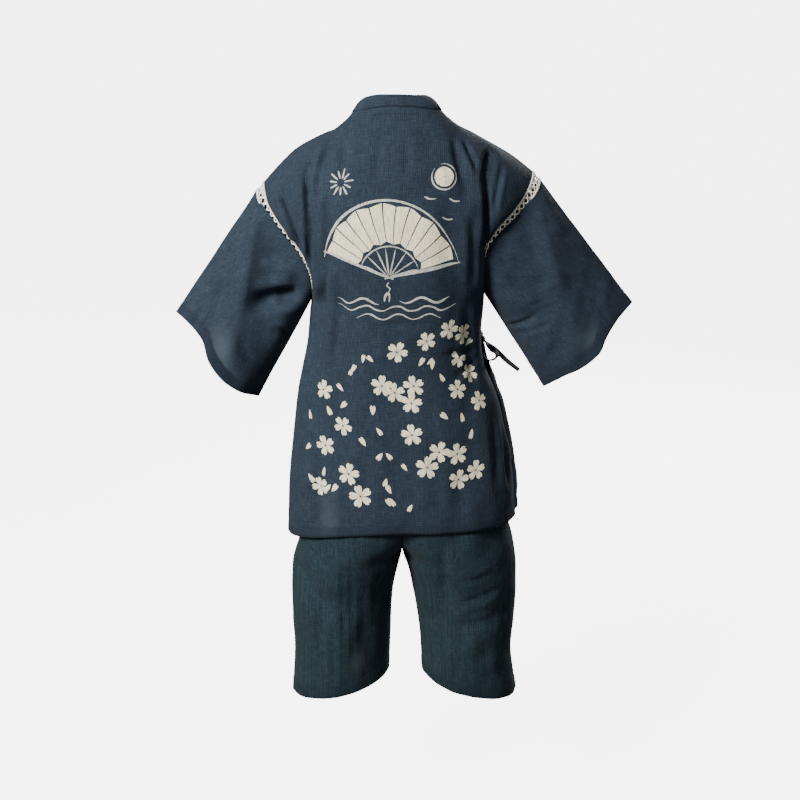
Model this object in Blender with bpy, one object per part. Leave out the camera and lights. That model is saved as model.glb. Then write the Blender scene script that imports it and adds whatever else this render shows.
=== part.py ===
"""Jinbei set as it is worn: a wrapped and tied cotton jacket with lace sleeve seams, and knee shorts.

Every piece is a thin wall of cloth over a surface that is worked out from the tables below.
Units are metres, +Z is up, +X is the wearer's left, and the front faces -Y.
The origin is the middle of the neck opening, level with the back of the neck.
"""

import bpy
import numpy as np

# Cloth and seams
CLOTH = 0.0018  # wall of a sewn cotton panel
LACE = 0.0014  # wall of the lace insert
TAPE = 0.0016  # wall of a tie tape
SEAM_GAP = 0.0004  # open width of a seam, edge to edge
LAYER_GAP = 0.0005  # air between the collar band and the panel it is sewn on

# Grid of the jacket
ARM_ROWS = 16  # rows of cloth from the shoulder ridge to the armpit, and lace pitches along them
BODY_LEVELS = (1.08, 1.16, 1.24, 1.32, 1.40, 1.50, 1.60, 1.70, 1.80, 1.90, 2.0)  # rows below the armpit
NECK_SHARE = 0.25  # share of the half width, at the top edge, that the neck takes
NECK_COLUMNS = 3
RIDGE_SHARES = (0.25, 0.285, 0.325, 0.38, 0.45, 0.53, 0.62, 0.71, 0.81, 0.91, 1.0)
BAND_COLUMNS = 2  # columns of the fronts, next to the free edge, that the collar band covers

# Armpit, height of 1 in the row scale: 0 is the top edge, 1 the armpit, 2 the hem
ARMPIT = 1.0
HEM = 2.0


def table(columns, *rows):
    """A short table, a dict of named columns."""
    return {name: np.array([row[i] for row in rows], float) for i, name in enumerate(columns.split())}


# Middle of the body, back and front, at each level
MIDDLE = table(
    "level back_y back_z front_y front_z square",
    (0.0, 0.056, 0.012, -0.052, -0.070, 2.0),
    (0.0625, 0.067, -0.006, -0.060, -0.082, 2.0),
    (0.125, 0.083, -0.030, -0.068, -0.095, 2.0),
    (0.25, 0.102, -0.075, -0.082, -0.120, 2.1),
    (0.5, 0.118, -0.165, -0.100, -0.185, 2.2),
    (0.75, 0.120, -0.252, -0.108, -0.262, 2.2),
    (1.0, 0.112, -0.338, -0.107, -0.342, 2.2),
    (1.2, 0.105, -0.425, -0.106, -0.428, 2.2),
    (1.4, 0.108, -0.512, -0.112, -0.515, 2.2),
    (1.6, 0.119, -0.600, -0.121, -0.605, 2.2),
    (1.8, 0.129, -0.690, -0.129, -0.700, 2.3),
    (2.0, 0.134, -0.759, -0.133, -0.782, 2.3),
)

# Side seams below the armpit
SIDES = table(
    "level left_x left_z right_x right_z",
    (1.0, 0.160, -0.345, -0.154, -0.337),
    (1.2, 0.172, -0.431, -0.150, -0.425),
    (1.3, 0.181, -0.472, -0.156, -0.468),
    (1.4, 0.190, -0.514, -0.175, -0.512),
    (1.6, 0.202, -0.603, -0.200, -0.600),
    (1.8, 0.213, -0.702, -0.217, -0.688),
    (2.0, 0.217, -0.797, -0.222, -0.764),
)

# Shoulder ridge from the collar's top edge at the neck out to the armhole
RIDGE_LEFT = table(
    "x y z",
    (0.063, 0.020, 0.004),
    (0.069, 0.018, -0.014),
    (0.084, 0.012, -0.031),
    (0.139, 0.003, -0.055),
    (0.186, 0.000, -0.081),
    (0.214, 0.000, -0.107),
    (0.242, 0.000, -0.137),
)
RIDGE_RIGHT = table(
    "x y z",
    (-0.046, 0.020, 0.009),
    (-0.055, 0.018, -0.010),
    (-0.070, 0.012, -0.026),
    (-0.112, 0.003, -0.045),
    (-0.155, 0.000, -0.066),
    (-0.199, 0.000, -0.091),
    (-0.236, 0.000, -0.119),
)

# Armhole seams from the ridge round to the armpit: behind on the back, before on the front
ARMHOLE_LEFT = table(
    "x z behind before",
    (0.242, -0.137, 0.000, 0.000),
    (0.239, -0.149, 0.020, 0.019),
    (0.231, -0.172, 0.037, 0.034),
    (0.213, -0.201, 0.050, 0.046),
    (0.193, -0.226, 0.058, 0.053),
    (0.171, -0.257, 0.063, 0.055),
    (0.158, -0.288, 0.060, 0.051),
    (0.155, -0.322, 0.043, 0.036),
    (0.160, -0.345, 0.000, 0.000),
)
ARMHOLE_RIGHT = table(
    "x z behind before",
    (-0.236, -0.119, 0.000, 0.000),
    (-0.232, -0.131, 0.020, 0.019),
    (-0.219, -0.154, 0.040, 0.036),
    (-0.197, -0.183, 0.054, 0.048),
    (-0.171, -0.210, 0.062, 0.054),
    (-0.153, -0.238, 0.063, 0.055),
    (-0.149, -0.276, 0.058, 0.049),
    (-0.149, -0.312, 0.040, 0.034),
    (-0.154, -0.337, 0.000, 0.000),
)

# Lace insert: how far its outer edge lies from the armhole: out, towards the middle depth, down
LACE_STEP = table(
    "level out inward down",
    (0.0, 0.0130, 0.0000, 0.0135),
    (0.12, 0.0128, 0.0045, 0.0130),
    (0.3, 0.0100, 0.0110, 0.0110),
    (0.5, 0.0090, 0.0130, 0.0100),
    (0.75, 0.0095, 0.0110, 0.0120),
    (1.0, 0.0100, 0.0000, 0.0170),
)
LACE_SELVEDGE = 0.14  # share of the lace's width in each solid edge
LACE_STRAND = 0.13  # half width of a strand where it meets an edge, as a share of the pitch
LACE_CORNER = 0.15  # how far the strands stay joined below an edge, as a share of the width
LACE_HUB = 0.12  # half height of a crossing, as a share of the width
LACE_END_GAP = 0.012  # open seam between the two halves of a lace ring, in pitches

# Cuffs from their upper corner round to their lower corner
CUFF_LEFT = table(
    "x z behind before",
    (0.412, -0.372, 0.000, 0.000),
    (0.386, -0.384, 0.030, 0.030),
    (0.358, -0.415, 0.050, 0.050),
    (0.347, -0.452, 0.058, 0.056),
    (0.325, -0.488, 0.054, 0.050),
    (0.294, -0.516, 0.036, 0.032),
    (0.266, -0.533, 0.000, 0.000),
)
CUFF_RIGHT = table(
    "x z behind before",
    (-0.426, -0.354, 0.000, 0.000),
    (-0.392, -0.386, 0.030, 0.030),
    (-0.374, -0.412, 0.046, 0.046),
    (-0.363, -0.436, 0.054, 0.052),
    (-0.340, -0.458, 0.056, 0.052),
    (-0.303, -0.482, 0.044, 0.040),
    (-0.270, -0.514, 0.000, 0.000),
)
SLEEVE_RINGS = 8

# Folds of the back and the fronts: soft troughs from one point to another, seen square on
BACK_FOLDS = table(
    "x0 z0 x1 z1 width depth",
    (0.118, -0.060, 0.140, -0.135, 0.012, 0.006),
    (0.158, -0.105, 0.152, -0.265, 0.014, 0.010),
    (0.128, -0.110, 0.122, -0.250, 0.014, 0.006),
    (0.196, -0.135, 0.166, -0.225, 0.012, 0.006),
    (-0.096, -0.055, -0.110, -0.140, 0.012, 0.006),
    (-0.152, -0.085, -0.150, -0.245, 0.014, 0.011),
    (-0.085, -0.160, -0.092, -0.330, 0.020, 0.004),
    (0.105, -0.420, 0.120, -0.640, 0.030, 0.005),
    (-0.110, -0.420, -0.128, -0.660, 0.030, 0.005),
    (0.000, -0.520, -0.006, -0.720, 0.040, 0.004),
)
FRONT_FOLDS = table(
    "x0 z0 x1 z1 width depth",
    (0.150, -0.150, 0.140, -0.300, 0.018, 0.006),
    (-0.150, -0.130, -0.135, -0.290, 0.018, 0.006),
    (0.100, -0.400, 0.125, -0.680, 0.035, 0.004),
    (-0.090, -0.520, -0.110, -0.740, 0.035, 0.004),
)
SLEEVE_FOLDS_LEFT = table(
    "x0 z0 x1 z1 width depth",
    (0.196, -0.325, 0.245, -0.345, 0.020, 0.012),
    (0.262, -0.230, 0.302, -0.420, 0.024, -0.007),
    (0.225, -0.270, 0.262, -0.470, 0.022, 0.006),
    (0.318, -0.330, 0.322, -0.450, 0.022, 0.005),
)
SLEEVE_FOLDS_RIGHT = table(
    "x0 z0 x1 z1 width depth",
    (-0.232, -0.375, -0.265, -0.355, 0.018, 0.010),
    (-0.215, -0.300, -0.250, -0.320, 0.018, 0.007),
    (-0.275, -0.235, -0.315, -0.390, 0.026, -0.006),
    (-0.322, -0.330, -0.340, -0.420, 0.022, 0.005),
)

# Free edge of the outer, wearer's left front and the seam of the collar band on it, across the front:
# 1 is the side seam of the panel, 0 the middle, -1 the other side. The inner front mirrors them.
COLLAR = table(
    "edge_level edge_at seam_level seam_at",
    (0.0, 0.25, 0.0, 0.325),
    (0.10, 0.25, 0.11, 0.38),
    (0.25, 0.22, 0.28, 0.37),
    (0.45, 0.15, 0.50, 0.31),
    (0.65, 0.06, 0.73, 0.22),
    (0.85, -0.07, 0.94, 0.10),
    (1.0, -0.22, 1.10, -0.04),
    (1.12, -0.41, 1.22, -0.20),
    (1.22, -0.64, 1.31, -0.40),
    (1.31, -0.90, 1.38, -0.64),
)
BAND_END_LEVEL = 1.33  # the band ends at the row above this level
BAND_CORNER_RISE = 0.65  # how far the band's seam rises towards the ridge at the sides of the neck
BAND_CORNER_WIDTH = 0.09
FULL_WRAP_LEVEL = 1.36  # below this level a front reaches the other side

# How far each front stands off the common surface, from its side seam across to its free edge
LAYERS = table(
    "at outer inner",
    (1.0, 0.0000, 0.0000),
    (0.6, 0.0020, 0.0000),
    (0.0, 0.0075, -0.0020),
    (-0.6, 0.0100, -0.0090),
    (-1.0, 0.0105, -0.0090),
)
LAYER_FADE = 0.30  # level by which the layers have come together at the shoulder

# Shorts: sections from the waistband down. turn is how far the section has closed under the crotch.
SHORTS = table(
    "drop turn outer_left outer_right z_out inner_left inner_right z_in behind before lean",
    (0.00, 0, 0.150, -0.150, -0.548, 0.000, 0.000, -0.548, 0.093, 0.092, 0.000),
    (0.12, 2, 0.168, -0.170, -0.620, 0.000, 0.000, -0.620, 0.108, 0.099, 0.000),
    (0.24, 8, 0.182, -0.187, -0.690, 0.000, 0.000, -0.690, 0.118, 0.106, 0.000),
    (0.36, 22, 0.191, -0.203, -0.760, 0.000, 0.000, -0.752, 0.122, 0.110, 0.000),
    (0.46, 48, 0.197, -0.220, -0.818, 0.000, 0.000, -0.806, 0.121, 0.111, 0.000),
    (0.54, 90, 0.210, -0.227, -0.862, 0.000, 0.000, -0.843, 0.118, 0.110, 0.000),
    (0.60, 90, 0.213, -0.229, -0.895, 0.007, -0.013, -0.880, 0.112, 0.106, 0.000),
    (0.74, 90, 0.214, -0.228, -0.970, 0.016, -0.030, -0.950, 0.104, 0.100, 0.003),
    (0.87, 90, 0.212, -0.223, -1.056, 0.019, -0.040, -1.026, 0.098, 0.096, 0.004),
    (1.00, 90, 0.218, -0.236, -1.146, 0.022, -0.044, -1.100, 0.097, 0.096, 0.004),
)
SHORTS_HEM_SAG = -0.006  # how much lower than an even slope the middle of each hem hangs, or higher below 0
SHORTS_DROPS = (0.0, 0.1, 0.2, 0.3, 0.38, 0.44, 0.49, 0.54, 0.60, 0.68, 0.76, 0.84, 0.92, 1.0)
SHORTS_COLUMNS = 9
SHORTS_MIDDLE = -0.004
SHORTS_CENTRE_GAP = 0.0002  # how far each edge stands from the middle seam's line
SHORTS_FOLDS = table(
    "x0 z0 x1 z1 width depth",
    (0.196, -0.850, 0.150, -0.905, 0.018, 0.010),
    (0.120, -0.880, 0.115, -1.060, 0.022, -0.005),
    (0.060, -0.980, 0.050, -1.080, 0.020, 0.006),
    (-0.088, -0.880, -0.084, -0.975, 0.016, 0.007),
    (-0.125, -0.960, -0.185, -0.945, 0.018, 0.007),
    (-0.060, -0.960, -0.084, -1.010, 0.018, 0.006),
)
WAISTBAND_HEIGHT = 0.034
WAISTBAND_SEGMENTS = 48

# Ties, at the wearer's right side
TIE_WIDTH = 0.013
TIE_KNOT = (-0.1540, -0.0350, -0.4315)
TIE_KNOT_SIZE = (0.0065, 0.0085, 0.0075)
TIE_STRETCHES = 3  # stretches of tape from one row of a tie's table to the next
TIE_GATHER = 0.55  # width of a tape where it goes into the knot, as a share of its full width
TIE_GATHER_LENGTH = 0.25  # share of the tape over which it spreads to its full width

# Tapes of the bow that show behind: middle line, and the way the flat of the tape faces
TIE_LOOP_BEHIND = table(
    "x y z face_x face_y face_z",
    (-0.1585, -0.0270, -0.4340, -0.85, 0.45, 0.25),
    (-0.1710, -0.0050, -0.4420, -0.30, 0.92, 0.25),
    (-0.1805, 0.0065, -0.4535, -0.90, 0.40, -0.10),
    (-0.1705, -0.0010, -0.4635, -0.10, 0.20, -0.97),
    (-0.1590, -0.0170, -0.4620, 0.40, 0.30, -0.85),
    (-0.1525, -0.0320, -0.4440, 0.50, 0.60, -0.60),
)
TIE_TAIL_BEHIND = table(
    "x y z face_x face_y face_z",
    (-0.1645, -0.0400, -0.4380, -0.90, -0.10, 0.35),
    (-0.1810, -0.0200, -0.4500, -0.50, 0.30, 0.80),
    (-0.2000, -0.0040, -0.4660, -0.33, 0.46, 0.80),
    (-0.2225, 0.0000, -0.4830, -0.30, 0.50, 0.80),
)
TIE_ROOT_SIDE = table(
    "x y z face_x face_y face_z",
    (-0.1514, 0.0030, -0.4225, -1.00, 0.00, 0.00),
    (-0.1518, -0.0120, -0.4225, -1.00, 0.10, 0.00),
    (-0.1512, -0.0250, -0.4235, -0.95, 0.30, 0.00),
)
# Tapes that lie on the outer front: place on it, how far off it, and the way the flat faces
TIE_LOOP_BEFORE = table(
    "across level off face_x face_y face_z",
    (-0.785, 1.183, 0.0080, -0.85, -0.50, 0.00),
    (-0.640, 1.178, 0.0120, -0.70, -0.70, 0.00),
    (-0.540, 1.179, 0.0120, 0.40, -0.90, 0.00),
    (-0.500, 1.180, 0.0085, 0.95, 0.20, 0.00),
    (-0.540, 1.182, 0.0050, 0.60, 0.75, 0.00),
    (-0.640, 1.184, 0.0046, 0.70, 0.70, 0.00),
    (-0.750, 1.190, 0.0005, 0.80, 0.60, 0.00),
)
TIE_TAIL_BEFORE = table(
    "across level off face_x face_y face_z",
    (-0.820, 1.246, 0.0030, -0.90, -0.40, 0.00),
    (-0.845, 1.300, 0.0062, -0.92, -0.38, 0.00),
    (-0.850, 1.400, 0.0050, -0.92, -0.38, 0.10),
    (-0.855, 1.520, 0.0050, -0.92, -0.38, 0.10),
)
TIE_ROOT_BEFORE = table(
    "across level off face_x face_y face_z",
    (-0.655, 1.250, 0.0043, -0.70, -0.70, 0.00),
    (-0.720, 1.232, 0.0044, -0.80, -0.60, 0.00),
    (-0.775, 1.220, 0.0040, -0.85, -0.50, 0.00),
)

# sRGB colours
NAVY = (0.165, 0.215, 0.265)
TEAL_NAVY = (0.130, 0.205, 0.235)
CREAM = (0.88, 0.85, 0.77)
DARK = (0.05, 0.06, 0.09)


def smooth(value):
    """0 to 1 with soft ends."""
    value = np.clip(value, 0.0, 1.0)
    return value * value * (3.0 - 2.0 * value)


def slopes(at, values):
    """Slope of a smooth curve through each point of a table."""
    steps = np.diff(values, axis=0) / np.diff(at)[:, None]
    inner = (steps[1:] * np.diff(at)[:-1, None] + steps[:-1] * np.diff(at)[1:, None])
    inner = inner / (at[2:] - at[:-2])[:, None]
    return np.vstack([steps[:1], inner, steps[-1:]])


def between(at, values, wanted):
    """Smooth values of a table at the wanted places."""
    at = np.asarray(at, float)
    values = np.asarray(values, float)
    flat = values.ndim == 1
    if flat:
        values = values[:, None]
    wanted = np.clip(np.asarray(wanted, float), at[0], at[-1])
    shape = wanted.shape
    wanted = wanted.ravel()
    k = np.clip(np.searchsorted(at, wanted, side="right") - 1, 0, len(at) - 2)
    width = (at[k + 1] - at[k])[:, None]
    u = ((wanted - at[k])[:, None]) / width
    m = slopes(at, values)
    result = (
        (2 * u**3 - 3 * u**2 + 1) * values[k]
        + (u**3 - 2 * u**2 + u) * width * m[k]
        + (3 * u**2 - 2 * u**3) * values[k + 1]
        + (u**3 - u**2) * width * m[k + 1]
    )
    return result.reshape(shape) if flat else result.reshape(shape + (values.shape[1],))


def along(points, shares):
    """Points of a smooth curve at the given shares of its length."""
    points = np.asarray(points, float)
    chord = np.concatenate([[0.0], np.cumsum(np.linalg.norm(np.diff(points, axis=0), axis=1))])
    fine = between(chord, points, np.linspace(0.0, chord[-1], 400))
    run = np.concatenate([[0.0], np.cumsum(np.linalg.norm(np.diff(fine, axis=0), axis=1))])
    wanted = np.asarray(shares, float) * run[-1]
    return np.stack([np.interp(wanted, run, fine[:, i]) for i in range(3)], axis=-1)


def columns_of(rows, *names):
    """Named columns of a table side by side."""
    return np.stack([rows[name] for name in names], axis=-1)


def seam_curve(rows, face):
    """Points of an armhole or a cuff: face is 1 on the back and -1 on the front."""
    depth = rows["behind"] if face > 0 else -rows["before"]
    return np.stack([rows["x"], depth, rows["z"]], axis=-1)


def armhole(side, face, level):
    rows = ARMHOLE_LEFT if side > 0 else ARMHOLE_RIGHT
    return along(seam_curve(rows, face), level)


def side_point(side, face, level):
    """Side edge of the body: the armhole above the armpit, the side seam below it."""
    level = np.asarray(level, float)
    names = ("left_x", "left_z") if side > 0 else ("right_x", "right_z")
    low = between(SIDES["level"], columns_of(SIDES, *names), np.maximum(level, ARMPIT))
    seam = np.stack([low[..., 0], np.zeros_like(low[..., 0]), low[..., 1]], axis=-1)
    hole = armhole(side, face, np.minimum(level, ARMPIT).ravel()).reshape(level.shape + (3,))
    return np.where((level < ARMPIT)[..., None], hole, seam)


def ridge(across):
    """Top edge of the body: the collar's edge round the neck, then the shoulder out to the armhole."""
    across = np.asarray(across, float)
    share = np.clip((np.abs(across) - NECK_SHARE) / (1.0 - NECK_SHARE), 0.0, 1.0)
    left = along(columns_of(RIDGE_LEFT, "x", "y", "z"), share.ravel()).reshape(share.shape + (3,))
    right = along(columns_of(RIDGE_RIGHT, "x", "y", "z"), share.ravel()).reshape(share.shape + (3,))
    return np.where((across > 0)[..., None], left, right)


def top_edge(across, face):
    across = np.asarray(across, float)
    shoulder = ridge(np.where(np.abs(across) < NECK_SHARE, np.where(across > 0, NECK_SHARE, -NECK_SHARE), across))
    turn = np.clip(across / NECK_SHARE, -1.0, 1.0) * np.pi / 2.0
    left = ridge(np.full_like(across, NECK_SHARE))
    right = ridge(np.full_like(across, -NECK_SHARE))
    middle_x = (left[..., 0] + right[..., 0]) / 2.0
    half = (left[..., 0] - right[..., 0]) / 2.0
    corner = np.where((across > 0)[..., None], left, right)
    depth = MIDDLE["back_y"][0] if face > 0 else MIDDLE["front_y"][0]
    height = MIDDLE["back_z"][0] if face > 0 else MIDDLE["front_z"][0]
    neck = np.stack(
        [
            middle_x + half * np.sin(turn),
            corner[..., 1] + (depth - corner[..., 1]) * np.cos(turn),
            corner[..., 2] + (height - corner[..., 2]) * np.cos(turn),
        ],
        axis=-1,
    )
    return np.where((np.abs(across) < NECK_SHARE)[..., None], neck, shoulder)


def plain_body(across, level, face):
    """Body of the jacket before its shoulders are set on the ridge."""
    names = ("back_y", "back_z") if face > 0 else ("front_y", "front_z")
    middle = between(MIDDLE["level"], columns_of(MIDDLE, *names), level)
    square = between(MIDDLE["level"], MIDDLE["square"], level)
    left = side_point(1, face, level)
    right = side_point(-1, face, level)
    edge = np.where((across > 0)[..., None], left, right)
    middle_x = (left[..., 0] + right[..., 0]) / 2.0
    turn = np.abs(across) * np.pi / 2.0
    out = np.sin(turn) ** (2.0 / square)
    deep = np.clip(np.cos(turn), 0.0, 1.0) ** (2.0 / square)
    return np.stack(
        [
            middle_x + (edge[..., 0] - middle_x) * out,
            edge[..., 1] + (middle[..., 0] - edge[..., 1]) * deep,
            middle[..., 1] + (edge[..., 2] - middle[..., 1]) * out**2,
        ],
        axis=-1,
    )


def pressed(points, folds, face):
    """Points with the folds pressed into them, towards the inside of the body."""
    points = points.copy()
    for x0, z0, x1, z1, width, depth in zip(*(folds[n] for n in "x0 z0 x1 z1 width depth".split())):
        run = np.array([x1 - x0, z1 - z0])
        length = np.linalg.norm(run)
        away = np.stack([points[..., 0] - x0, points[..., 2] - z0], axis=-1)
        share = (away @ run) / length**2
        across = (away[..., 0] * run[1] - away[..., 1] * run[0]) / length
        beyond = np.maximum(np.maximum(-share, share - 1.0), 0.0) * length
        strength = np.exp(-((across / width) ** 2) - (beyond / (1.5 * width)) ** 2)
        points[..., 1] -= face * depth * strength
    return points


def body(across, level, face):
    """Surface of the jacket's body. across runs from -1, the wearer's right, to 1, level from 0 to 2."""
    across, level = np.broadcast_arrays(np.asarray(across, float), np.asarray(level, float))
    points = plain_body(across, level, face)
    set_off = top_edge(across, face) - plain_body(across, np.zeros_like(level), face)
    reach = np.sqrt(np.clip(level / 0.5, 0.0, 1.0))
    points = points + set_off * ((1.0 - reach) ** 2)[..., None]
    folds = BACK_FOLDS if face > 0 else FRONT_FOLDS
    folded = pressed(points, folds, face)
    # The folds run out towards the ridge, the side seams and the armholes, where the panels meet.
    hold = smooth(level / 0.12) * smooth((1.0 - np.abs(across)) / 0.12)
    return points + (folded - points) * hold[..., None]


def rows_of_levels():
    return np.concatenate([np.linspace(0.0, ARMPIT, ARM_ROWS + 1), BODY_LEVELS])


def free_edge(level):
    """How far across the front the free edge of the outer front lies."""
    level = np.asarray(level, float)
    at = np.append(COLLAR["edge_level"], (FULL_WRAP_LEVEL, HEM))
    values = np.append(COLLAR["edge_at"], (-1.0, -1.0))
    return np.maximum(between(at, values, level), -1.0)


def band_seam(level):
    """How far across the front the seam of the collar band lies. Below the band it runs on with the edge."""
    edge = free_edge(level)
    seam = between(COLLAR["seam_level"], COLLAR["seam_at"], level)
    width = np.where(level < BAND_END_LEVEL, seam - edge, COLLAR["seam_at"][-1] - COLLAR["edge_at"][-1])
    return edge + width


def front_surface(across, level, side):
    """Surface of one front: side is 1 for the outer, wearer's left one, and -1 for the inner one."""
    across, level = np.broadcast_arrays(np.asarray(across, float), np.asarray(level, float))
    points = body(across, level, -1)
    step = 0.004
    run = body(np.clip(across + step, -1, 1), level, -1) - body(np.clip(across - step, -1, 1), level, -1)
    fall = body(across, np.clip(level + step, 0, HEM), -1) - body(across, np.clip(level - step, 0, HEM), -1)
    normal = np.cross(run, fall)
    normal /= np.linalg.norm(normal, axis=-1)[..., None]
    name = "outer" if side > 0 else "inner"
    order = np.argsort(LAYERS["at"])
    off = between(LAYERS["at"][order], LAYERS[name][order], side * across)
    off = off * smooth(level / LAYER_FADE)
    return points - normal * off[..., None]


def back_grid():
    neck = np.linspace(0.0, NECK_SHARE, NECK_COLUMNS + 1)[:-1]
    half = np.concatenate([neck, RIDGE_SHARES])
    across = np.concatenate([-half[:0:-1], half])
    levels = np.repeat(rows_of_levels()[:, None], len(across), axis=1)
    corner = (np.abs(across) - RIDGE_SHARES[BAND_COLUMNS]) / BAND_CORNER_WIDTH
    levels[1] *= 1.0 - BAND_CORNER_RISE * np.exp(-(corner**2))
    return body(across[None, :], levels, 1)


def front_grid(side):
    """Grid of one front, from its side seam to its free edge."""
    levels = rows_of_levels()
    plain = np.array(RIDGE_SHARES[: BAND_COLUMNS - 1 : -1])
    at_ridge = (1.0 - plain) / (1.0 - plain[-1])
    even = np.linspace(0.0, 1.0, len(plain))
    mix = smooth(levels / 0.6)[:, None]
    spread = at_ridge * (1.0 - mix) + even * mix
    seam = band_seam(levels)[:, None]
    edge = free_edge(levels)[:, None]
    under_band = np.linspace(0.0, 1.0, BAND_COLUMNS + 1)[1:]
    across = np.concatenate([1.0 + (seam - 1.0) * spread, seam + (edge - seam) * under_band], axis=1)
    across[0] = RIDGE_SHARES[::-1]
    return front_surface(side * across, levels[:, None], side)


def arm_ring(side):
    """Closed ring of the armhole: from the ridge down the back, and up the front."""
    levels = np.linspace(0.0, 1.0, ARM_ROWS + 1)
    back = armhole(side, 1, levels)
    front = armhole(side, -1, levels)
    return np.concatenate([back, front[-2:0:-1]])


def lace_ring(side):
    """Outer ring of the lace insert, which is the inner ring of the sleeve."""
    levels = np.linspace(0.0, 1.0, ARM_ROWS + 1)
    step = between(LACE_STEP["level"], columns_of(LACE_STEP, "out", "inward", "down"), levels)
    rings = []
    for face in (1, -1):
        start = armhole(side, face, levels)
        rings.append(start + np.stack([side * step[:, 0], -face * step[:, 1], -step[:, 2]], axis=-1))
    back, front = rings
    return np.concatenate([back, front[-2:0:-1]])


def cuff_ring(side):
    rows = CUFF_LEFT if side > 0 else CUFF_RIGHT
    levels = np.linspace(0.0, 1.0, ARM_ROWS + 1)
    back = along(seam_curve(rows, 1), levels)
    front = along(seam_curve(rows, -1), levels)
    return np.concatenate([back, front[-2:0:-1]])


def sleeve_grid(side):
    """Rings of the sleeve from the lace to the cuff."""
    start = lace_ring(side)
    end = cuff_ring(side)
    share = np.linspace(0.0, 1.0, SLEEVE_RINGS + 1)[:, None, None]
    rings = start[None] * (1.0 - share) + end[None] * share
    folds = SLEEVE_FOLDS_LEFT if side > 0 else SLEEVE_FOLDS_RIGHT
    face = np.sign(np.round(rings[..., 1], 6))
    folded = np.where((face > 0)[..., None], pressed(rings, folds, 1), pressed(rings, folds, -1))
    hold = smooth(np.abs(rings[..., 1]) / 0.025) * smooth(share[..., 0] / 0.15)
    return rings + (folded - rings) * hold[..., None]


def grid_normals(grid, wrap):
    """Unit normals of a grid's points, by the right hand over rows then columns."""
    if wrap:
        run = np.roll(grid, -1, axis=1) - np.roll(grid, 1, axis=1)
    else:
        run = np.gradient(grid, axis=1)
    normals = np.cross(np.gradient(grid, axis=0), run)
    return normals / np.maximum(np.linalg.norm(normals, axis=-1), 1e-12)[..., None]


class Panel:
    """One cloth panel: the grid of its outer face and the outward normals at its points."""

    def __init__(self, name, grid, wall, trims=(), wrap=False, flip=False, group="body"):
        self.name = name
        self.group = group
        self.grid = grid
        self.wall = wall
        self.trims = trims
        self.wrap = wrap
        self.flip = flip
        self.normals = grid_normals(grid, wrap) * (-1.0 if flip else 1.0)
        self.faces = grid_faces(grid, wrap)
        if flip:
            self.faces = [face[::-1] for face in self.faces]


def seam_key(point):
    return tuple(int(round(c * 1e5)) for c in point)


def share_seam_normals(panels):
    """Panels that meet at a seam get one common normal at each seam point, so their walls never cross."""
    sums = {}
    for panel in panels:
        for point, normal in zip(panel.grid.reshape(-1, 3), panel.normals.reshape(-1, 3)):
            groups = sums.setdefault(seam_key(point), {})
            groups[panel.group] = groups.get(panel.group, np.zeros(3)) + normal
    common = {}
    for key, groups in sums.items():
        total = sum(normal / np.linalg.norm(normal) for normal in groups.values())
        common[key] = total / np.linalg.norm(total)
    for panel in panels:
        flat = np.array([common[seam_key(point)] for point in panel.grid.reshape(-1, 3)])
        panel.normals = flat.reshape(panel.grid.shape)


LOW_FIRST = np.array([0.11, 0.37, 1.0])  # order of points from low to high, with no ties


def trim(outer, inner, edge, gap):
    """Draws one edge of a wall back by gap, within the cloth."""
    for face in (outer, inner):
        if edge in ("top", "bottom"):
            end, next_one = (0, 1) if edge == "top" else (-1, -2)
            pull = face[next_one] - face[end]
            face[end] += pull / np.linalg.norm(pull, axis=-1)[:, None] * gap
        else:
            end, next_one = (0, 1) if edge == "first" else (-1, -2)
            pull = face[:, next_one] - face[:, end]
            face[:, end] += pull / np.linalg.norm(pull, axis=-1)[:, None] * gap


def grid_faces(grid, wrap):
    """Triangles of a grid, numbered row by row. Each cell is cut along its shorter diagonal."""
    rows, columns = grid.shape[:2]
    points = grid.reshape(-1, 3)
    faces = []
    for r in range(rows - 1):
        for c in range(columns if wrap else columns - 1):
            right = (c + 1) % columns
            low = r * columns
            high = low + columns
            a, b, c1, d = low + c, high + c, high + right, low + right
            if np.linalg.norm(points[a] - points[c1]) < np.linalg.norm(points[b] - points[d]):
                faces += [(a, b, c1), (a, c1, d)]
            else:
                faces += [(a, b, d), (b, c1, d)]
    return faces


def cut_along(face, points):
    """A flat face with four corners as two triangles, cut from its lowest corner."""
    if len(face) == 3:
        return [tuple(face)]
    start = int(np.argmin([points[i] @ LOW_FIRST for i in face]))
    a, b, c, d = (face[(start + i) % 4] for i in range(4))
    return [(a, b, c), (a, c, d)]


def wall_object(name, outer, inner, faces, finish):
    """Closed wall between two layers of the same points: both faces, and a rim along every open edge."""
    count = len(outer)
    points = np.concatenate([outer, inner])
    faces = [cut for face in faces for cut in cut_along(face, outer)]
    edges = {(face[i - 1], face[i]) for face in faces for i in range(3)}
    walls = faces + [tuple(i + count for i in reversed(face)) for face in faces]
    for a, b in sorted(edges):
        if (b, a) in edges:
            continue
        # Both panels at a seam cut their rims from the lower end of the same edge.
        if outer[a] @ LOW_FIRST < outer[b] @ LOW_FIRST:
            walls += [(a, a + count, b + count), (a, b + count, b)]
        else:
            walls += [(b, a, a + count), (b, a + count, b + count)]
    mesh = bpy.data.meshes.new(name)
    mesh.from_pydata(points.tolist(), [], walls)
    mesh.update()
    mesh.shade_smooth()
    mesh.materials.append(finish)
    piece = bpy.data.objects.new(name, mesh)
    bpy.context.scene.collection.objects.link(piece)
    return piece


def panel_object(panel, finish):
    """The panel as a closed wall, its seam edges drawn back."""
    outer = panel.grid.copy()
    inner = panel.grid - panel.normals * panel.wall
    for edge in panel.trims:
        trim(outer, inner, edge, SEAM_GAP / 2.0)
    return wall_object(panel.name, outer.reshape(-1, 3), inner.reshape(-1, 3), panel.faces, finish)


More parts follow.
